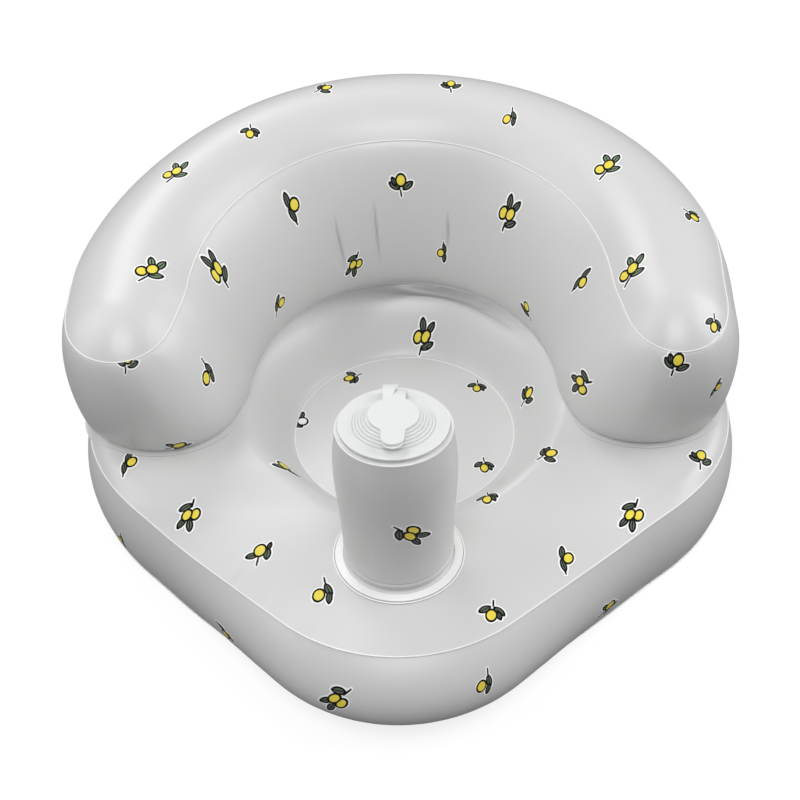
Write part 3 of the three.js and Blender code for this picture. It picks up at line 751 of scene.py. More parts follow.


# Post, sleeve
# A tube of the printed film over the foam. It flares out to its foot weld and bulges above its
# middle. It keeps its length when the pump head moves.
post_foot_z = foot_sheet_z + film_thickness + weld_gap
post_height = 0.1365
post_foot_radius, post_top_radius = 0.0425, 0.043
post_swell, post_swell_share = 0.0036, 0.72
post_flare_height, post_flare_power = 0.008, 9
head_tilt = math.radians(5)
sleeve_step, sleeve_weld = 0.0019, 0.0016
sleeve_spans = ((post_height, 0.013, 60), (0.0125, 0.0065, 44), (0.0060, 0.002, 6))
lowest_span, lowest_rows = 0.0016, 16
step_height, step_edge = 0.0072, 0.0003
weld_height, weld_half_height = 0.0107, 0.0006


def post_radius(height):
    t = height / post_height
    bend = math.log(0.5) / math.log(post_swell_share)
    flare = np.clip(1 - height / post_flare_height, 0, 1) ** post_flare_power
    bulge = post_swell * np.sin(math.pi * t**bend)
    groove = sleeve_weld * np.exp(-((height - weld_height) / weld_half_height) ** 2)
    under_step = sleeve_step * smooth((step_height - height) / step_edge + 0.5)
    return (mix(post_foot_radius, post_top_radius, t) + bulge - groove - under_step
            + flare * (post_flange_radius - post_foot_radius + sleeve_step))


def sleeve_ring(height, radius):
    """A ring whose height slopes with the head's backward tilt."""
    ring = about_post(radius, post_foot_z + height)
    ring[:, 2] -= height / post_height * (ring[:, 1] - post_y) * math.tan(head_tilt)
    return ring


post_share = post_angles / (2 * math.pi)
# The rows of the sleeve lie closest together at its weld and its foot.
sleeve_heights = np.concatenate([
    *(np.linspace(*span) for span in sleeve_spans),
    lowest_span * (1 - np.linspace(0, 1, lowest_rows)) ** 2])
sleeve_rings = []
for height in sleeve_heights:
    waves = puckers(post_share, post_height - height, weld_pucker / 2)
    sleeve_rings.append(sleeve_ring(height, post_radius(height) + waves))
post_sleeve = film("post_sleeve", sleeve_rings, vinyl)


def shorten_with_pump(piece):
    """Bakes the piece's place into its own mesh."""
    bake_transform(piece)


shorten_with_pump(post_sleeve)
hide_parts("pump_column_wall")

foot_lip_gap = 0.0003
band_inner, band_outer = 0.0436, post_flange_radius - 0.0002
band_inner_z, band_outer_z, band_height = 0.0009, 0.0004, 0.0007
weld_lip("weld_post_foot",
         about_post(post_flange_radius + foot_lip_gap, post_foot_z - weld_gap / 2),
         width=0.0013, thickness=0.0008, root=0)
band_corners = ((band_inner, band_inner_z), (band_inner, band_inner_z + band_height),
                (band_outer, band_outer_z + band_height), (band_outer, band_outer_z))
band_rings = [about_post(radius, post_foot_z + height) for radius, height in band_corners]
weld_band = object_from("weld_post_band", band_rings,
                        ring_faces(len(band_rings), post_stations, closed=True), weld_vinyl)
weld_band.data.set_sharp_from_angle(angle=cut_edge_angle)
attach(weld_band, "root")


# Post, foam core
# A plug of open-celled foam with a bore for the air. It lifts the head again
# after each stroke.
foam_radius, foam_bore = 0.040, 0.014
foam_rows = 24
ripple_depth, ripple_length = 0.0004, 0.004


def foam_material():
    """Cream foam, with dark cells a millimetre or two wide."""
    material, tree, shader = new_material("open-cell foam")
    place = add_node(tree, "ShaderNodeTexCoord", {})["Object"]
    cells = add_node(tree, "ShaderNodeTexVoronoi", {"Vector": place, "Scale": 600})["Distance"]
    fill(tree, shader, {
        "Roughness": 0.95,
        "Base Color": colour_between(tree, cells, (0.62, 0.54, 0.36, 1), (0.82, 0.76, 0.58, 1)),
        "Normal": bump(tree, cells, distance=0.0006)})
    return material


foam_rings = [sleeve_ring(0, foam_bore)]
for height in post_height * np.linspace(0, 1, foam_rows):
    ripple = ripple_depth * math.cos(height / ripple_length)
    foam_rings.append(sleeve_ring(height, foam_radius - ripple))
for height in post_height * np.linspace(1, 0, foam_rows):
    foam_rings.append(sleeve_ring(height, foam_bore))
foam_faces = ring_faces(len(foam_rings), post_stations, upwards=True)
post_foam = join_doubles(object_from("post_foam", foam_rings, foam_faces, foam_material()))
shorten_with_pump(post_foam)
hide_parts("pump_foam_core")


# Post, top sheet
# A ring of film that closes the sleeve. Its rim stands out as a thin white lip
# below the plate.
head_place = Matrix.Translation((0, post_y, post_foot_z + post_height)) @ Matrix.Rotation(
    -head_tilt, 4, "X")
top_sheet_z = weld_gap
cavity_radius = 0.0268
top_lip_radius, top_lip_fold = 0.0005, 0.0003
lip_under, lip_drop, lip_crest, lip_foot = 0.001, 0.0002, 0.0006, 0.0012
bend_angle = math.radians(30)


def turned(name, outline, material, edge, stations=144):
    """A piece turned about the upright axis from a closed outline of radius and
    height pairs, anticlockwise, with its sharp edges rounded."""
    angles = 2 * math.pi * np.arange(stations) / stations
    rings = [polar(radius, angles, height) for radius, height in outline]
    faces = ring_faces(len(rings), stations, closed=outline[0][0] > 0, upwards=True)
    made = join_doubles(object_from(name, rings, faces, material))
    made.data.set_sharp_from_angle(angle=bend_angle)
    round_edges(made, edge)
    return made


def round_edges(made, width, segments=3):
    rounded = made.modifiers.new("rounded edges", "BEVEL")
    rounded.width = width
    rounded.segments = segments
    rounded.limit_method = "ANGLE"
    rounded.angle_limit = bend_angle
    rounded.harden_normals = True
    made.data.shade_smooth()


def moulded_vinyl(name, colour, smoothest, roughest):
    """Thick soft vinyl from a polished mould."""
    material, tree, shader = new_material(name)
    flow = noise(tree, scale=60, detail=4)
    fill(tree, shader, {
        "Base Color": (*colour, 1),
        "Roughness": value_between(tree, flow, smoothest, roughest),
        "Normal": bump(tree, noise(tree, scale=1400), distance=0.0001, strength=0.1)})
    return material


plate_vinyl = moulded_vinyl("white moulded vinyl", (0.69, 0.70, 0.70),
                            smoothest=0.34, roughest=0.46)
sheet_face_z = top_sheet_z + film_thickness
top_sheet = turned("post_top_sheet", [
    (cavity_radius, top_sheet_z), (post_top_radius - lip_under, top_sheet_z),
    (post_top_radius + top_lip_radius, top_sheet_z - lip_drop),
    (post_top_radius + top_lip_radius, sheet_face_z + top_lip_fold),
    (post_top_radius - lip_crest, sheet_face_z + top_lip_fold),
    (post_top_radius - lip_foot, sheet_face_z), (cavity_radius, sheet_face_z)],
    weld_vinyl, edge=0.0002)


def on_head(piece, body="pump_head"):
    """Puts a piece that was made round the upright axis on the tilted pump head."""
    piece.data.transform(head_place)
    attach(piece, body)


on_head(top_sheet)
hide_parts("pump_top_sheet")


# Pump plate
# A round moulding that the palm presses, with five fine steps up to its hub. The
# air comes in through the hole in its middle.
plate_z = sheet_face_z + weld_gap
plate_radius, plate_rim = 0.0408, 0.0013
boss_radius, boss_height = 0.0385, 0.0026
plate_wall = 0.0016
plate_top_z = plate_z + boss_height + plate_rim
hub_rings = (0.0302, 0.0280, 0.0258, 0.0236, 0.0214)
hub_height, hub_rim = 0.0066, 0.0012
hub_top_z = plate_top_z + hub_height
collar_radius, collar_depth, hole_radius = 0.009, 0.004, 0.006
step_rise, step_groove = hub_height / len(hub_rings), 0.0004
step_corners = ((0.0005, 0), (0.0001, -step_groove), (-0.0002, -step_groove),
                (-0.0004, 0.9 * step_rise))
ledge_radius, ledge_low, ledge_high = 0.0400, 0.0008, 0.0015

hub_steps = [(radius + out, plate_top_z + i * step_rise + up)
             for i, radius in enumerate(hub_rings) for out, up in step_corners]
pump_plate = turned("pump_plate", [
    (cavity_radius, plate_z), (boss_radius, plate_z), (boss_radius, plate_z + ledge_low),
    (ledge_radius, plate_z + ledge_low), (ledge_radius, plate_z + ledge_high),
    (boss_radius, plate_z + ledge_high),
    (boss_radius, plate_z + boss_height), (plate_radius, plate_z + boss_height),
    (plate_radius, plate_top_z), *hub_steps,
    (hub_rings[-1] - hub_rim, hub_top_z), (hole_radius, hub_top_z),
    (hole_radius, hub_top_z - collar_depth), (collar_radius, hub_top_z - collar_depth),
    (collar_radius, hub_top_z - plate_wall), (hub_rings[-1] - plate_wall, hub_top_z - plate_wall),
    (cavity_radius, plate_top_z - plate_wall)], plate_vinyl, edge=0.00015)
on_head(pump_plate)
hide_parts("pump_top_plate")


# Valve cap
# A soft round lid with a pull tab to the front, a second tongue under the tab,
# and a plug below that closes the air hole.
cap_z = hub_top_z + weld_gap
cap_radius, cap_thickness = 0.019, 0.0018
tab_half_width, tab_reach = 0.00875, 0.0340
neck_radius = 0.004
round_steps, neck_steps, tab_steps = 97, 13, 41
tongue_inset, tongue_extra, tongue_thickness = 0.0006, 0.0028, 0.0011
plug_radius, plug_tip_radius, plug_length = 0.0055, 0.0046, 0.0032
tongue_overlap, plug_overlap = 0.0002, 0.0001


def lid_outline(grow=0.0, reach=tab_reach):
    """Round lid, rounded necks and a round-ended tab, anticlockwise from the neck."""
    radius, half = cap_radius + grow, tab_half_width + grow
    neck_x = half + neck_radius
    neck_y = -math.sqrt((radius + neck_radius) ** 2 - neck_x**2)
    touch = math.atan2(neck_y, neck_x)
    round_part = np.linspace(touch, math.pi - touch, round_steps)
    left_neck = np.linspace(-touch, 0, neck_steps)[1:]
    tab_end = np.linspace(math.pi, 2 * math.pi, tab_steps)
    points = [(radius * math.cos(a), radius * math.sin(a)) for a in round_part]
    points += [(-neck_x + neck_radius * math.cos(a), neck_y + neck_radius * math.sin(a))
               for a in left_neck]
    points += [(half * math.cos(a), half - reach - grow + half * math.sin(a)) for a in tab_end]
    points += [(-x, y) for x, y in reversed(points[len(round_part):-len(tab_end)])]
    return points


def slab(name, outline, low, high, material, edge):
    """A flat piece of an outline, with rounded edges."""
    count = len(outline)
    points = [(x, y, low) for x, y in outline] + [(x, y, high) for x, y in outline]
    sides = [(i, (i + 1) % count, (i + 1) % count + count, i + count) for i in range(count)]
    faces = [tuple(reversed(range(count))), tuple(range(count, 2 * count)), *sides]
    made = object_from(name, points, faces, material)
    round_edges(made, edge)
    return made


def join_pieces(first, *others):
    """One object from several, with what their modifiers made."""
    for piece in (first, *others):
        plain_mesh_of(piece)
    with bpy.context.temp_override(active_object=first, selected_editable_objects=[first, *others]):
        bpy.ops.object.join()
    return first


cap = slab("valve_cap_lid", lid_outline(), cap_z, cap_z + cap_thickness,
           plate_vinyl, edge=0.0005)
tongue_outline = [(x, y) for x, y in lid_outline(-tongue_inset, tab_reach + tongue_extra)
                  if y < -cap_radius / 2]
tongue = slab("tongue", tongue_outline, cap_z - weld_gap - tongue_thickness,
              cap_z - tongue_overlap, plate_vinyl, edge=0.0003)
plug = turned("plug", [
    (0, cap_z - plug_length), (plug_tip_radius, cap_z - plug_length),
    (plug_radius, cap_z + plug_overlap), (0, cap_z + plug_overlap)],
    plate_vinyl, edge=0.0004, stations=64)
cap = join_pieces(cap, tongue, plug)
on_head(cap, "cap")
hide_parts("valve_cap")


# Cap strap
# A flat strap of the same moulding, which leaves the back of the cap, bends down
# over the hub and is welded to the plate. Its left corner stands up, folded over.
strap_width, strap_thickness = 0.0170, 0.0010
strap_foot_back, strap_weld = 0.0345, 0.002
strap_under_lid, strap_inset = 0.0035, 0.0001
strap_rows, strap_columns = 48, 24
corner_start, corner_end = 0.33, 0.70
band_bends = ((0, 0), (0.35, 0), (0.70, 0.22), (0.95, 0.62), (1, 1))
corner_bends = ((0, 0.0003), (0.35, 0.0006), (0.70, 0.0009), (1, -0.0004))

strap_start = cap_radius - strap_under_lid
strap_middle = cap_z + cap_thickness - strap_thickness / 2 - strap_inset
strap_foot_z = plate_top_z + weld_gap + strap_thickness / 2
band_route = np.array([
    (mix(strap_start, strap_foot_back, back), mix(strap_middle, strap_foot_z, drop))
    for back, drop in band_bends])
corner_route = np.array([
    (mix(strap_start, strap_foot_back, back), strap_middle + lift)
    for back, lift in corner_bends])


def smooth_line(points, count):
    """Points along a curve that passes smoothly through the given ones."""
    ends = [2 * points[0] - points[1], *points, 2 * points[-1] - points[-2]]
    found = []
    just_before_end = len(points) - 1 - 1e-9
    for share in np.linspace(0, just_before_end, count):
        i, t = int(share), share - int(share)
        a, b, c, d = ends[i:i + 4]
        found.append(0.5 * (2 * b + (c - a) * t + (2 * a - 5 * b + 4 * c - d) * t * t
                            + (3 * b - a - 3 * c + d) * t**3))
    return np.array(found)


def strip_faces(rows, columns):
    return [(j * columns + i, j * columns + i + 1,
             (j + 1) * columns + i + 1, (j + 1) * columns + i)
            for j in range(rows - 1) for i in range(columns - 1)]


def strap_sheet(name, route, right_edges):
    """A strip over the full width, or as far across as its right edge goes."""
    points = [((across * right_edge - 0.5) * strap_width, back_y, up)
              for (back_y, up), right_edge in zip(smooth_line(route, strap_rows), right_edges)
              for across in np.linspace(0, 1, strap_columns)]
    made = object_from(name, points, strip_faces(strap_rows, strap_columns), plate_vinyl)
    thicken(made, strap_thickness, 0)
    round_edges(made, width=0.0002, segments=2)
    return made


strap = strap_sheet("cap_strap_band", band_route, np.ones(strap_rows))
strap_corner = strap_sheet(
    "strap_corner", corner_route, np.linspace(corner_start, corner_end, strap_rows))
strap = join_pieces(strap, strap_corner)
strap.data.transform(head_place)
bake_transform(strap)
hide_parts("cap_strap")


# Inner valve parts
# The outlet valve below the post and the three thin flaps that stop the air from
# flowing back. They are moulded in soft milky vinyl.
clear_vinyl = moulded_vinyl("milky moulded vinyl", (0.74, 0.76, 0.76),
                            smoothest=0.24, roughest=0.38)
for node in ("outlet_valve_body", "outlet_flap", "intake_flap", "release_flap"):
    frame["nodes"][node].data.materials.clear()
    frame["nodes"][node].data.materials.append(clear_vinyl)


# Release valve
# Low in the back wall: a flange welded to the film, a short nozzle, and a stopper
# on a strap. It lets the air out again.
release_z = base_seam_height / 2
release_y = rear_centre_y + rear_radius + side_swell + weld_gap
flange_radius, flange_thickness = 0.013, 0.0014
stem_radius, bore_radius, stem_depth = 0.0068, 0.0048, 0.013
nozzle_length = 0.0035
stopper_length, stopper_tip, stopper_head, stopper_head_thickness = 0.008, 0.0038, 0.0064, 0.0018
release_strap_width, release_strap_thickness, release_strap_rise = 0.005, 0.0009, 0.003
release_strap_rows, release_strap_columns = 24, 7

nozzle_end = flange_thickness + nozzle_length
stopper_face = nozzle_end + weld_gap
release_place = Matrix.Translation((0, release_y, release_z)) @ Matrix.Rotation(
    -math.pi / 2, 4, "X")
release_body = turned("release_valve_moulding", [
    (bore_radius, -stem_depth), (stem_radius, -stem_depth), (stem_radius, 0),
    (flange_radius, 0), (flange_radius, flange_thickness),
    (stem_radius, flange_thickness), (stem_radius, nozzle_end),
    (bore_radius, nozzle_end)], clear_vinyl, edge=0.0003, stations=96)
stopper = turned("release_stopper", [
    (0, stopper_face - stopper_length), (stopper_tip, stopper_face - stopper_length),
    (bore_radius - weld_gap, stopper_face), (stopper_head, stopper_face),
    (stopper_head, stopper_face + stopper_head_thickness),
    (0, stopper_face + stopper_head_thickness)], clear_vinyl, edge=0.0003, stations=72)
for piece, body, node in ((release_body, "root", "release_valve_body"),
                          (stopper, "stopper", "release_plug")):
    piece.data.transform(release_place)
    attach(piece, body)
    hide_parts(node)

strap_low = -(stem_radius + flange_radius) / 2 - release_strap_thickness
strap_top = -stopper_head - weld_gap
strap_out = stopper_face + stopper_head_thickness / 2
release_route = np.array([
    (flange_thickness + weld_gap, strap_low),
    (mix(flange_thickness + weld_gap, strap_out, 2 / 3), strap_low),
    (strap_out + release_strap_rise / 2, mix(strap_low, strap_top, 1 / 3)),
    (strap_out, strap_top)])
release_points = [
    (side * release_strap_width / 2, release_y + out, release_z + up)
    for out, up in smooth_line(release_route, release_strap_rows)
    for side in np.linspace(-1, 1, release_strap_columns)]
release_strap = object_from("release_strap", release_points,
                            strip_faces(release_strap_rows, release_strap_columns), clear_vinyl)
thicken(release_strap, release_strap_thickness, 0)
plain_mesh_of(release_strap)
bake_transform(release_strap)
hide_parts("release_plug_strap")


# Printed sprigs
# Small sprigs with yellow fruit and dark leaves, each on a white halo. They are
# printed on the film before it is cut, so a seam can cut one through.
# In a drawing the stem comes from the left, and each shape is its kind, its middle
# across and up, its turn in degrees, its length and its width.
drawing_unit = 0.001
oval = 0.5
end_shapes = {"leaf": 0.68, "green leaf": 0.68, "stem": 0.2, "fruit": oval, "bare": oval}
drawings = {
    "sprig_0_pair": (
        ("green leaf", 6.4, 5.0, 52, 11.0, 6.0),
        ("green leaf", 10.6, -1.2, 8, 12.5, 5.6),
        ("green leaf", -0.2, -6.6, -34, 13.0, 5.8),
        ("stem", -10.4, -3.2, -4, 10.0, 1.5),
        ("fruit", -6.2, 3.0, 24, 10.6, 9.2),
        ("fruit", 1.8, -0.6, 6, 12.2, 9.0)),
    "sprig_1_cup": (
        ("leaf", -4.2, 5.6, -58, 10.5, 6.0),
        ("leaf", 0.6, -5.6, 10, 13.0, 6.0),
        ("leaf", 8.2, -5.4, -4, 8.5, 3.6),
        ("stem", -8.8, -0.4, 4, 9.0, 1.5),
        ("fruit", 2.2, 0.6, -8, 13.6, 9.6)),
    "sprig_2_long": (
        ("leaf", 7.6, 1.6, -5, 14.0, 5.0),
        ("leaf", -5.4, 1.8, 10, 13.5, 4.6),
        ("stem", -12.4, 1.0, 10, 5.0, 1.5),
        ("fruit", 1.6, -2.8, -14, 12.2, 8.8)),
    "sprig_3_hanging": (
        ("leaf", -0.6, -6.0, -50, 11.5, 6.0),
        ("leaf", -0.4, 5.8, 54, 11.8, 6.0),
        ("leaf", 3.6, 6.0, 26, 9.0, 4.4),
        ("stem", -7.6, 0.2, 6, 7.0, 1.5),
        ("fruit", 4.4, 0.0, 0, 12.4, 9.2)),
    "sprig_4_drop": (
        ("leaf", -2.0, 4.0, 24, 14.0, 5.8),
        ("leaf", 5.6, 5.2, 2, 12.0, 4.8),
        ("stem", -11.0, 0.4, 14, 8.0, 1.5),
        ("fruit", 3.4, -3.0, -10, 13.2, 9.4)),
    "sprig_5_twin": (
        ("leaf", 9.2, 4.0, 24, 13.0, 5.2),
        ("leaf", 9.2, -2.8, -6, 12.5, 5.0),
        ("leaf", -5.4, -6.2, -34, 12.0, 5.8),
        ("stem", -11.0, -2.6, 12, 9.0, 1.5),
        ("fruit", -1.8, 3.8, 10, 12.2, 7.4),
        ("fruit", 1.2, -2.0, 2, 12.6, 7.6)),
    "sprig_6_bare": (
        ("leaf", -4.4, 5.0, -60, 10.0, 5.4),
        ("leaf", 0.4, -5.4, 8, 13.0, 5.4),
        ("stem", -9.0, -0.2, 4, 9.0, 1.5),
        ("bare", 1.6, 0.4, -8, 11.5, 9.4)),
}
ink_colours = {"halo": (0.93, 0.93, 0.93), "line": (0.004, 0.005, 0.006),
               "fruit": (0.82, 0.67, 0.070), "leaf": (0.110, 0.135, 0.095),
               "green": (0.19, 0.26, 0.16)}
ink_shine = {"halo": 0.5, "line": 0.12, "fruit": 0.4, "leaf": 0.2, "green": 0.2}
halo_margin, line_margin, line_width, vein_width = 0.0012, 0.0004, 0.0014, 0.0009
halo_lift, halo_step = 0.00010, 0.000005
ink_lift, ink_step, ink_depth = 0.00014, 0.00005, 0.00025
fill_step, vein_step, vein_length = 0.4, 0.7, 0.85
fill_point = 1.6
ink_mottle = (0.85, 1.12)
ink_edge_angle = math.radians(40)
shape_rows = 9


def ink_material(name, colour, shine):
    """Printing ink, a little mottled, with the sheen of the film under it."""
    material, tree, shader = new_material("printed " + name)
    pale, rich = ((*(min(1, share * c) for c in colour), 1) for share in ink_mottle)
    fill(tree, shader, {
        "Roughness": 0.48, "Specular IOR Level": shine,
        "Base Color": colour_between(tree, noise(tree, scale=420), pale, rich)})
    return material


def printed_shape(across, up, turn, length, width, fullness, lift):
    """A thin closed plate: its points with their lifts, and its faces."""
    turn = math.radians(turn)
    shares = (1 - np.cos(math.pi * np.arange(shape_rows + 1) / shape_rows)) / 2
    half = width / 2 * (4 * shares * (1 - shares)) ** fullness
    rows = range(1, shape_rows)
    plan = [(-length / 2, 0.0)]
    plan += [((shares[r] - 0.5) * length, side * half[r]) for r in rows for side in (-1, 0, 1)]
    plan += [(length / 2, 0.0)]
    last = len(plan) - 1
    rim = [0, *(3 * r - 2 for r in rows), last, *(3 * r for r in reversed(rows))]
    faces = [(0, 1, 2), (0, 2, 3), (last, last - 1, last - 2), (last, last - 2, last - 3)]
    for r in range(1, shape_rows - 1):
        a = 3 * r - 2
        faces += [(a, a + 3, a + 4, a + 1), (a + 1, a + 4, a + 5, a + 2)]
    below = {corner: len(plan) + i for i, corner in enumerate(rim)}
    faces.append(tuple(below[corner] for corner in reversed(rim)))
    for i, corner in enumerate(rim):
        following = rim[(i + 1) % len(rim)]
        faces.append((corner, below[corner], below[following], following))
    points = [(x, y, lift) for x, y in plan] + [(*plan[c], -ink_depth) for c in rim]
    cos, sin = math.cos(turn), math.sin(turn)
    return [(across + x * cos - y * sin, up + x * sin + y * cos, z) for x, y, z in points], faces


def draw_inks(name, drawing):
    """One flat mesh for each ink of a drawing. A point's lift is kept with it."""
    inks = {ink: ([], [], []) for ink in ink_colours}

    def add(ink, *shape):
        made, faces = printed_shape(*shape)
        points, lifts, all_faces = inks[ink]
        all_faces += [tuple(c + len(points) for c in face) for face in faces]
        points += [(x, y, 0) for x, y, _ in made]
        lifts += [z for _, _, z in made]

    fills = {"leaf": "leaf", "green leaf": "green", "fruit": "fruit", "bare": "halo"}
    for order, (kind, across, up, turn, length, width) in enumerate(drawing):
        across, up, length, width = (drawing_unit * v for v in (across, up, length, width))
        fullness = end_shapes[kind]
        lift = ink_lift + ink_step * order
        outline = 0 if kind == "stem" else 2 * line_margin
        margins = outline + 2 * halo_margin
        add("halo", across, up, turn, length + margins, width + margins,
            min(fullness, oval), halo_lift + halo_step * order)
        add("line", across, up, turn, length + outline, width + outline, fullness, lift)
        if kind != "stem":
            inside = outline - 2 * line_width
            add(fills[kind], across, up, turn, length + fill_point * inside, width + inside,
                fullness, lift + ink_step * fill_step)
        if kind.endswith("leaf"):
            add("line", across, up, turn, length * vein_length, vein_width, oval,
                lift + ink_step * vein_step)
    for ink, (points, lifts, faces) in inks.items():
        made = object_from(f"{name}_{ink}", points, faces, ink_materials[ink])
        keep_values(made.data, "lift", "FLOAT", lifts)
        scene.collection.objects.unlink(made)
        ink_sheets[ink].objects.link(made)


ink_materials = {name: ink_material(name, colour, ink_shine[name])
                 for name, colour in ink_colours.items()}
ink_sheets = {name: bpy.data.collections.new("ink " + name) for name in ink_colours}
for drawing_name, drawing_shapes in drawings.items():
    draw_inks(drawing_name, drawing_shapes)


def print_tree():
    """Puts a drawing on each given point, lays it on the film and inks it. What
    would go over the edge of the film ends at the edge."""
    tree, inputs, given = new_tree(
        "print", {"Places": "Geometry", "Film": "Object", "Reach": "Float"}, "Print")
    film_shape = add_node(tree, "GeometryNodeObjectInfo", {"Object": given["Film"]})["Geometry"]
    joined = tree.nodes.new("GeometryNodeJoinGeometry")

    def kept(name, kind):
        return add_node(tree, "GeometryNodeInputNamedAttribute", {"Name": name},
                        data_type=kind)["Attribute"]

    def scaled(vector, scale):
        return add_node(tree, "ShaderNodeVectorMath", {0: vector, "Scale": scale},
                        operation="SCALE")["Vector"]

    def added(a, b):
        return add_node(tree, "ShaderNodeVectorMath", {0: a, 1: b}, operation="ADD")["Vector"]

    def either(on_film, there, elsewhere):
        return add_node(tree, "GeometryNodeSwitch", {
            "Switch": on_film, "True": there, "False": elsewhere}, input_type="VECTOR")["Output"]

    for ink, sheet in ink_sheets.items():
        drawn = add_node(tree, "GeometryNodeCollectionInfo", {
            "Collection": sheet, "Separate Children": True, "Reset Children": True})["Instances"]
        out = kept("facing", "FLOAT_VECTOR")
        stand = add_node(tree, "FunctionNodeAxesToRotation", {
            "Primary Axis": out, "Secondary Axis": kept("along", "FLOAT_VECTOR")},
            primary_axis="Z", secondary_axis="X")["Rotation"]
        spread = add_node(tree, "GeometryNodeInstanceOnPoints", {
            "Points": given["Places"], "Instance": drawn, "Pick Instance": True,
            "Instance Index": kept("drawing", "INT"), "Rotation": stand,
            "Scale": kept("size", "FLOAT")})["Instances"]
        real = add_node(tree, "GeometryNodeRealizeInstances", {"Geometry": spread})["Geometry"]

        place = add_node(tree, "GeometryNodeInputPosition", {})["Position"]
        ray = add_node(tree, "GeometryNodeRaycast", {
            "Target Geometry": film_shape,
            "Source Position": added(place, scaled(out, given["Reach"])),
            "Ray Direction": scaled(out, -1.0),
            "Ray Length": maths(tree, "MULTIPLY", given["Reach"], 2)})
        shape_number = add_node(tree, "GeometryNodeInputMeshIsland", {})["Island Index"]
        hits = add_node(tree, "GeometryNodeAccumulateField", {
            "Value": ray["Is Hit"], "Group ID": shape_number}, data_type="INT")["Total"]
        none_hit = add_node(tree, "FunctionNodeCompare", {"A": hits, "B": 1},
                            data_type="INT", operation="LESS_THAN")["Result"]
        cut = add_node(tree, "GeometryNodeDeleteGeometry",
                       {"Geometry": real, "Selection": none_hit})["Geometry"]

        edge = add_node(tree, "GeometryNodeProximity", {"Geometry": film_shape},
                        target_element="FACES")["Position"]
        ground = either(ray["Is Hit"], ray["Hit Position"], edge)
        outwards = either(ray["Is Hit"], ray["Hit Normal"], out)
        raised = scaled(outwards, kept("lift", "FLOAT"))
        laid = add_node(tree, "GeometryNodeSetPosition",
                        {"Geometry": cut, "Position": added(ground, raised)})["Geometry"]
        inked = add_node(tree, "GeometryNodeSetMaterial",
                         {"Geometry": laid, "Material": ink_materials[ink]})["Geometry"]
        tree.links.new(inked, joined.inputs["Geometry"])
    add_node(tree, "NodeGroupOutput", {"Print": joined.outputs["Geometry"]})
    return tree, inputs


# Sprigs that the camera sees: where they are in its picture, in pixels from the
# left and from the top, which way they grow there, in degrees, the number of the
# drawing, and a size.
seen_sprigs = (
    (323, 89, 20, 3, 0.85), (451, 86, 90, 3, 0.85), (250, 131, 268, 3, 0.8),
    (510, 117, 256, 4, 0.75), (175, 172, 40, 0, 0.95), (607, 166, 48, 0, 0.98),
    (691, 215, 320, 3, 0.8), (150, 270, 30, 0, 1.05), (631, 270, 58, 0, 1.02),
    (714, 323, 268, 3, 0.75), (401, 185, 92, 3, 1), (292, 208, 112, 2, 1.1),
    (508, 214, 58, 5, 1.1), (355, 264, 242, 5, 0.85), (443, 252, 270, 2, 0.75),
    (217, 271, 118, 5, 1.2), (279, 305, 75, 4, 0.8), (581, 281, 50, 2, 1.05),
    (527, 310, 115, 4, 0.75), (127, 362.5, 80, 3, 0.8), (207, 373, 288, 4, 0.95),
    (676, 365, 66, 3, 0.95), (716, 388, 60, 2, 0.7), (581, 384, 165, 5, 1.15),
    (423, 337, 66, 5, 1.1), (527, 397, 60, 3, 0.95), (547, 455, 22, 3, 0.9),
    (301, 421, 330, 6, 1), (287, 469, 152, 2, 1.15), (487, 497, 268, 3, 0.85),
    (353, 377, 200, 3, 0.85), (477, 386, 265, 3, 0.8), (484, 465, 276, 3, 0.8),
    (190, 515, 240, 5, 1.05), (260, 553, 70, 1, 1), (323, 592, 264, 4, 1),
    (128, 463, 70, 2, 0.95), (633, 515, 236, 5, 1.05), (565, 560, 98, 2, 0.95),
    (492, 611, 262, 3, 0.95), (701, 459, 88, 3, 0.9), (337, 700, 200, 5, 1),
    (485, 683, 256, 4, 0.8), (608, 607, 45, 1, 0.9), (225, 632, 310, 2, 0.8),
    (122, 540, 290, 2, 0.8), (411, 534, 328, 5, 1.05), (177, 446, 15, 1, 0.9))
print_reach = 0.008
far_outside = 0.6
height_step, turn_step, first_turn = 0.382, 137.5, 40
drawings_behind = 5


def as_seen(skins, seen):
    """A sprig's sheet and its place there, from its place in the camera's picture."""
    found = []
    for across_px, down_px, turn, drawing, size in seen:
        right = (across_px - picture_width / 2) / focal_length_px
        up = (picture_width / 2 - down_px) / focal_length_px
        ray = (right * camera_right + up * camera_up - camera_back).normalized()
        hits = [(hit[3], name, hit[0], hit[1]) for name, skin in skins.items()
                for hit in (skin.ray_cast(camera_place, ray),) if hit[0] is not None]
        if not hits:
            continue
        _, name, place, facing = min(hits)
        turn = math.radians(turn)
        along = camera_right * math.cos(turn) + camera_up * math.sin(turn)
        along = (along - along.dot(facing) / ray.dot(facing) * ray).normalized()
        found.append((name, place, facing, along, drawing, size))
    return found


def on_far_side(name, skin, middle, count, low, high, start, end):
    """Sprigs in a staggered row on an outer wall, between two bearings."""
    found = []
    for i in range(count):
        bearing = math.radians(mix(start, end, i / (count - 1)))
        out = Vector((math.cos(bearing), math.sin(bearing), 0))
        target = Vector((*middle, mix(low, high, (i * height_step) % 1)))
        place, facing, _, _ = skin.ray_cast(target + out * far_outside, -out)
        turn = math.radians(turn_step * i + first_turn)
        level = Vector((0, 0, 1)).cross(facing).normalized()
        along = level * math.cos(turn) + facing.cross(level) * math.sin(turn)
        found.append((name, place, facing, along, (i * 2) % drawings_behind, 1))
    return found


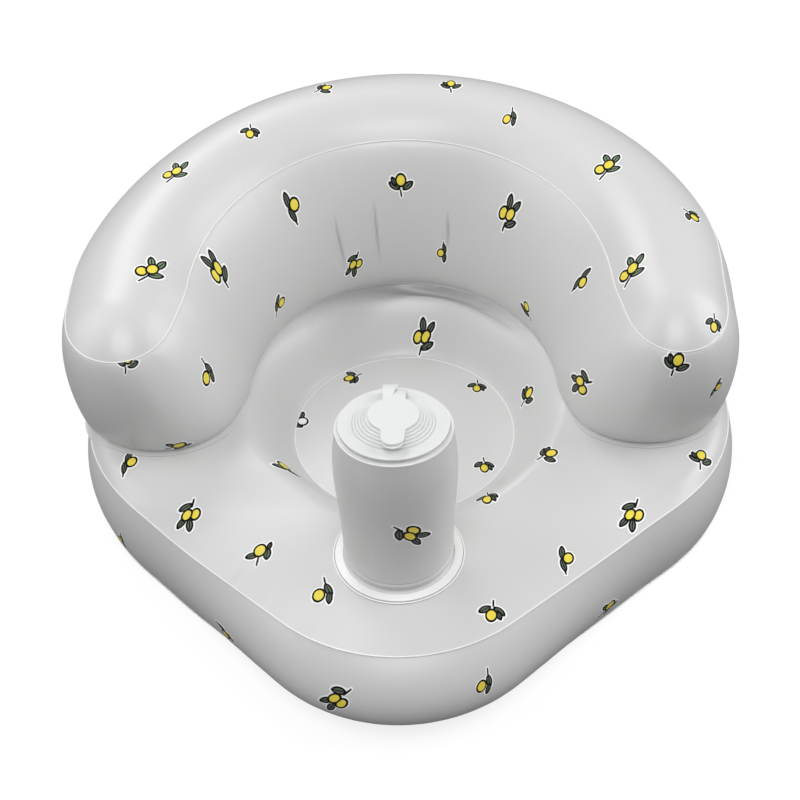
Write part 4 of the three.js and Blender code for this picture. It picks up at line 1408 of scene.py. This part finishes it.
def print_on(sheet, sprigs):
    """Prints the sprigs on a sheet and returns them as one thin mesh."""
    ground = add_object("film_to_print_on", outer_faces[sheet.name])
    mesh = bpy.data.meshes.new("print on " + sheet.name)
    _, places, facings, alongs, numbers, sizes = zip(*sprigs)
    mesh.from_pydata(places, [], [])
    keep_values(mesh, "facing", "FLOAT_VECTOR", np.ravel(facings).tolist())
    keep_values(mesh, "along", "FLOAT_VECTOR", np.ravel(alongs).tolist())
    keep_values(mesh, "drawing", "INT", numbers)
    keep_values(mesh, "size", "FLOAT", [float(size) for size in sizes])
    printed = apply_tree(add_object(mesh.name, mesh), sprig_tree, sprig_inputs,
                         {"Film": ground, "Reach": print_reach})
    for label in ("facing", "along", "drawing", "size", "lift"):
        if label in printed.data.attributes:
            printed.data.attributes.remove(printed.data.attributes[label])
    bpy.data.objects.remove(ground)
    return printed


sprig_tree, sprig_inputs = print_tree()
printed_sheets = {sheet.name: sheet for sheet in (
    base_side, base_top, seat_floor, backrest_side, backrest_top, post_sleeve)}
skins = {name: BVHTree.FromPolygons([v.co for v in outer_faces[name].vertices],
                                    [tuple(p.vertices) for p in outer_faces[name].polygons])
         for name in printed_sheets}
sprigs = as_seen(skins, seen_sprigs)
sprigs += on_far_side("backrest_side", skins["backrest_side"], (0, 0), count=22,
                      low=0.112, high=0.204, start=12, end=176)
release_middle = Vector((0, release_y, release_z))
base_sprigs = on_far_side("base_side", skins["base_side"], (0, 0), count=21,
                          low=0.022, high=0.058, start=2, end=178)
sprigs += [sprig for sprig in base_sprigs
           if (sprig[1] - release_middle).length > 2 * flange_radius]
sprigs += on_far_side("post_sleeve", skins["post_sleeve"], (0, post_y), count=4,
                      low=0.094, high=0.19, start=20, end=168)

body_prints = [print_on(sheet, [s for s in sprigs if s[0] == name])
               for name, sheet in printed_sheets.items() if name != "post_sleeve"]
body_print = join_pieces(*body_prints)
body_print.name = body_print.data.name = "printed_sprigs"
post_print = print_on(post_sleeve, [s for s in sprigs if s[0] == "post_sleeve"])
post_print.name = post_print.data.name = "printed_sprigs_post"
for printed in (body_print, post_print):
    printed.data.shade_smooth()
    printed.data.set_sharp_from_angle(angle=ink_edge_angle)
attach(body_print, "root")
shorten_with_pump(post_print)
for sheet in ink_sheets.values():
    for drawn in list(sheet.objects):
        bpy.data.objects.remove(drawn)


# Floor and light
# A plain pale floor and wide soft boxes: on both sides, above the front, and two
# small ones behind and above on the left. The floor keeps a faint shadow.
floor_size, floor_gap = 8, 0.0005


def pale_floor():
    """Diffuse, with a glow that only the camera sees."""
    material, tree, _ = new_material("pale floor")
    tree.nodes.clear()
    seen = add_node(tree, "ShaderNodeLightPath", {})["Is Camera Ray"]
    lit = add_node(tree, "ShaderNodeBsdfDiffuse", {"Color": (0.25, 0.25, 0.25, 1)})["BSDF"]
    glow = add_node(tree, "ShaderNodeEmission", {"Strength": 0.78})["Emission"]
    both = add_node(tree, "ShaderNodeAddShader", {0: lit, 1: glow})["Shader"]
    floor_look = add_node(tree, "ShaderNodeMixShader", {"Fac": seen, 1: lit, 2: both})["Shader"]
    add_node(tree, "ShaderNodeOutputMaterial", {"Surface": floor_look})
    return material


floor_corners = [(floor_size * x, floor_size * y, -floor_gap)
                 for x, y in ((-1, -1), (1, -1), (1, 1), (-1, 1))]
floor = object_from("floor", floor_corners, [(0, 1, 2, 3)], pale_floor())


def soft_box(name, place, size, watts):
    """A square lamp that is turned towards the seat."""
    light = bpy.data.lights.new(name, "AREA")
    light.size = size
    light.energy = watts
    made = add_object(name, light)
    made.location = place
    made.rotation_euler = (seat_middle - Vector(place)).to_track_quat("-Z", "Y").to_euler()


seat_middle = Vector((0, 0, 0.1))
soft_box("behind_left", (-0.6, 1.1, 1.5), size=0.8, watts=8.2)
soft_box("left", (-1.6, -0.2, 1.1), size=1.4, watts=11.8)
soft_box("left_above", (-1.1, 0.1, 1.9), size=1.0, watts=3.6)
soft_box("right", (1.6, 0.2, 1.1), size=1.4, watts=21)
soft_box("front_above", (0, -1.2, 2.0), size=1.2, watts=21.8)

world = bpy.data.worlds.new("studio")
scene.world = world
world.use_nodes = True
sky_seen = add_node(world.node_tree, "ShaderNodeLightPath", {})["Is Camera Ray"]
fill(world.node_tree, world.node_tree.nodes["Background"], {
    "Color": (1, 1, 1, 1),
    "Strength": value_between(world.node_tree, sky_seen, low=0.22, high=1.0)})
scene.view_settings.view_transform = "Standard"
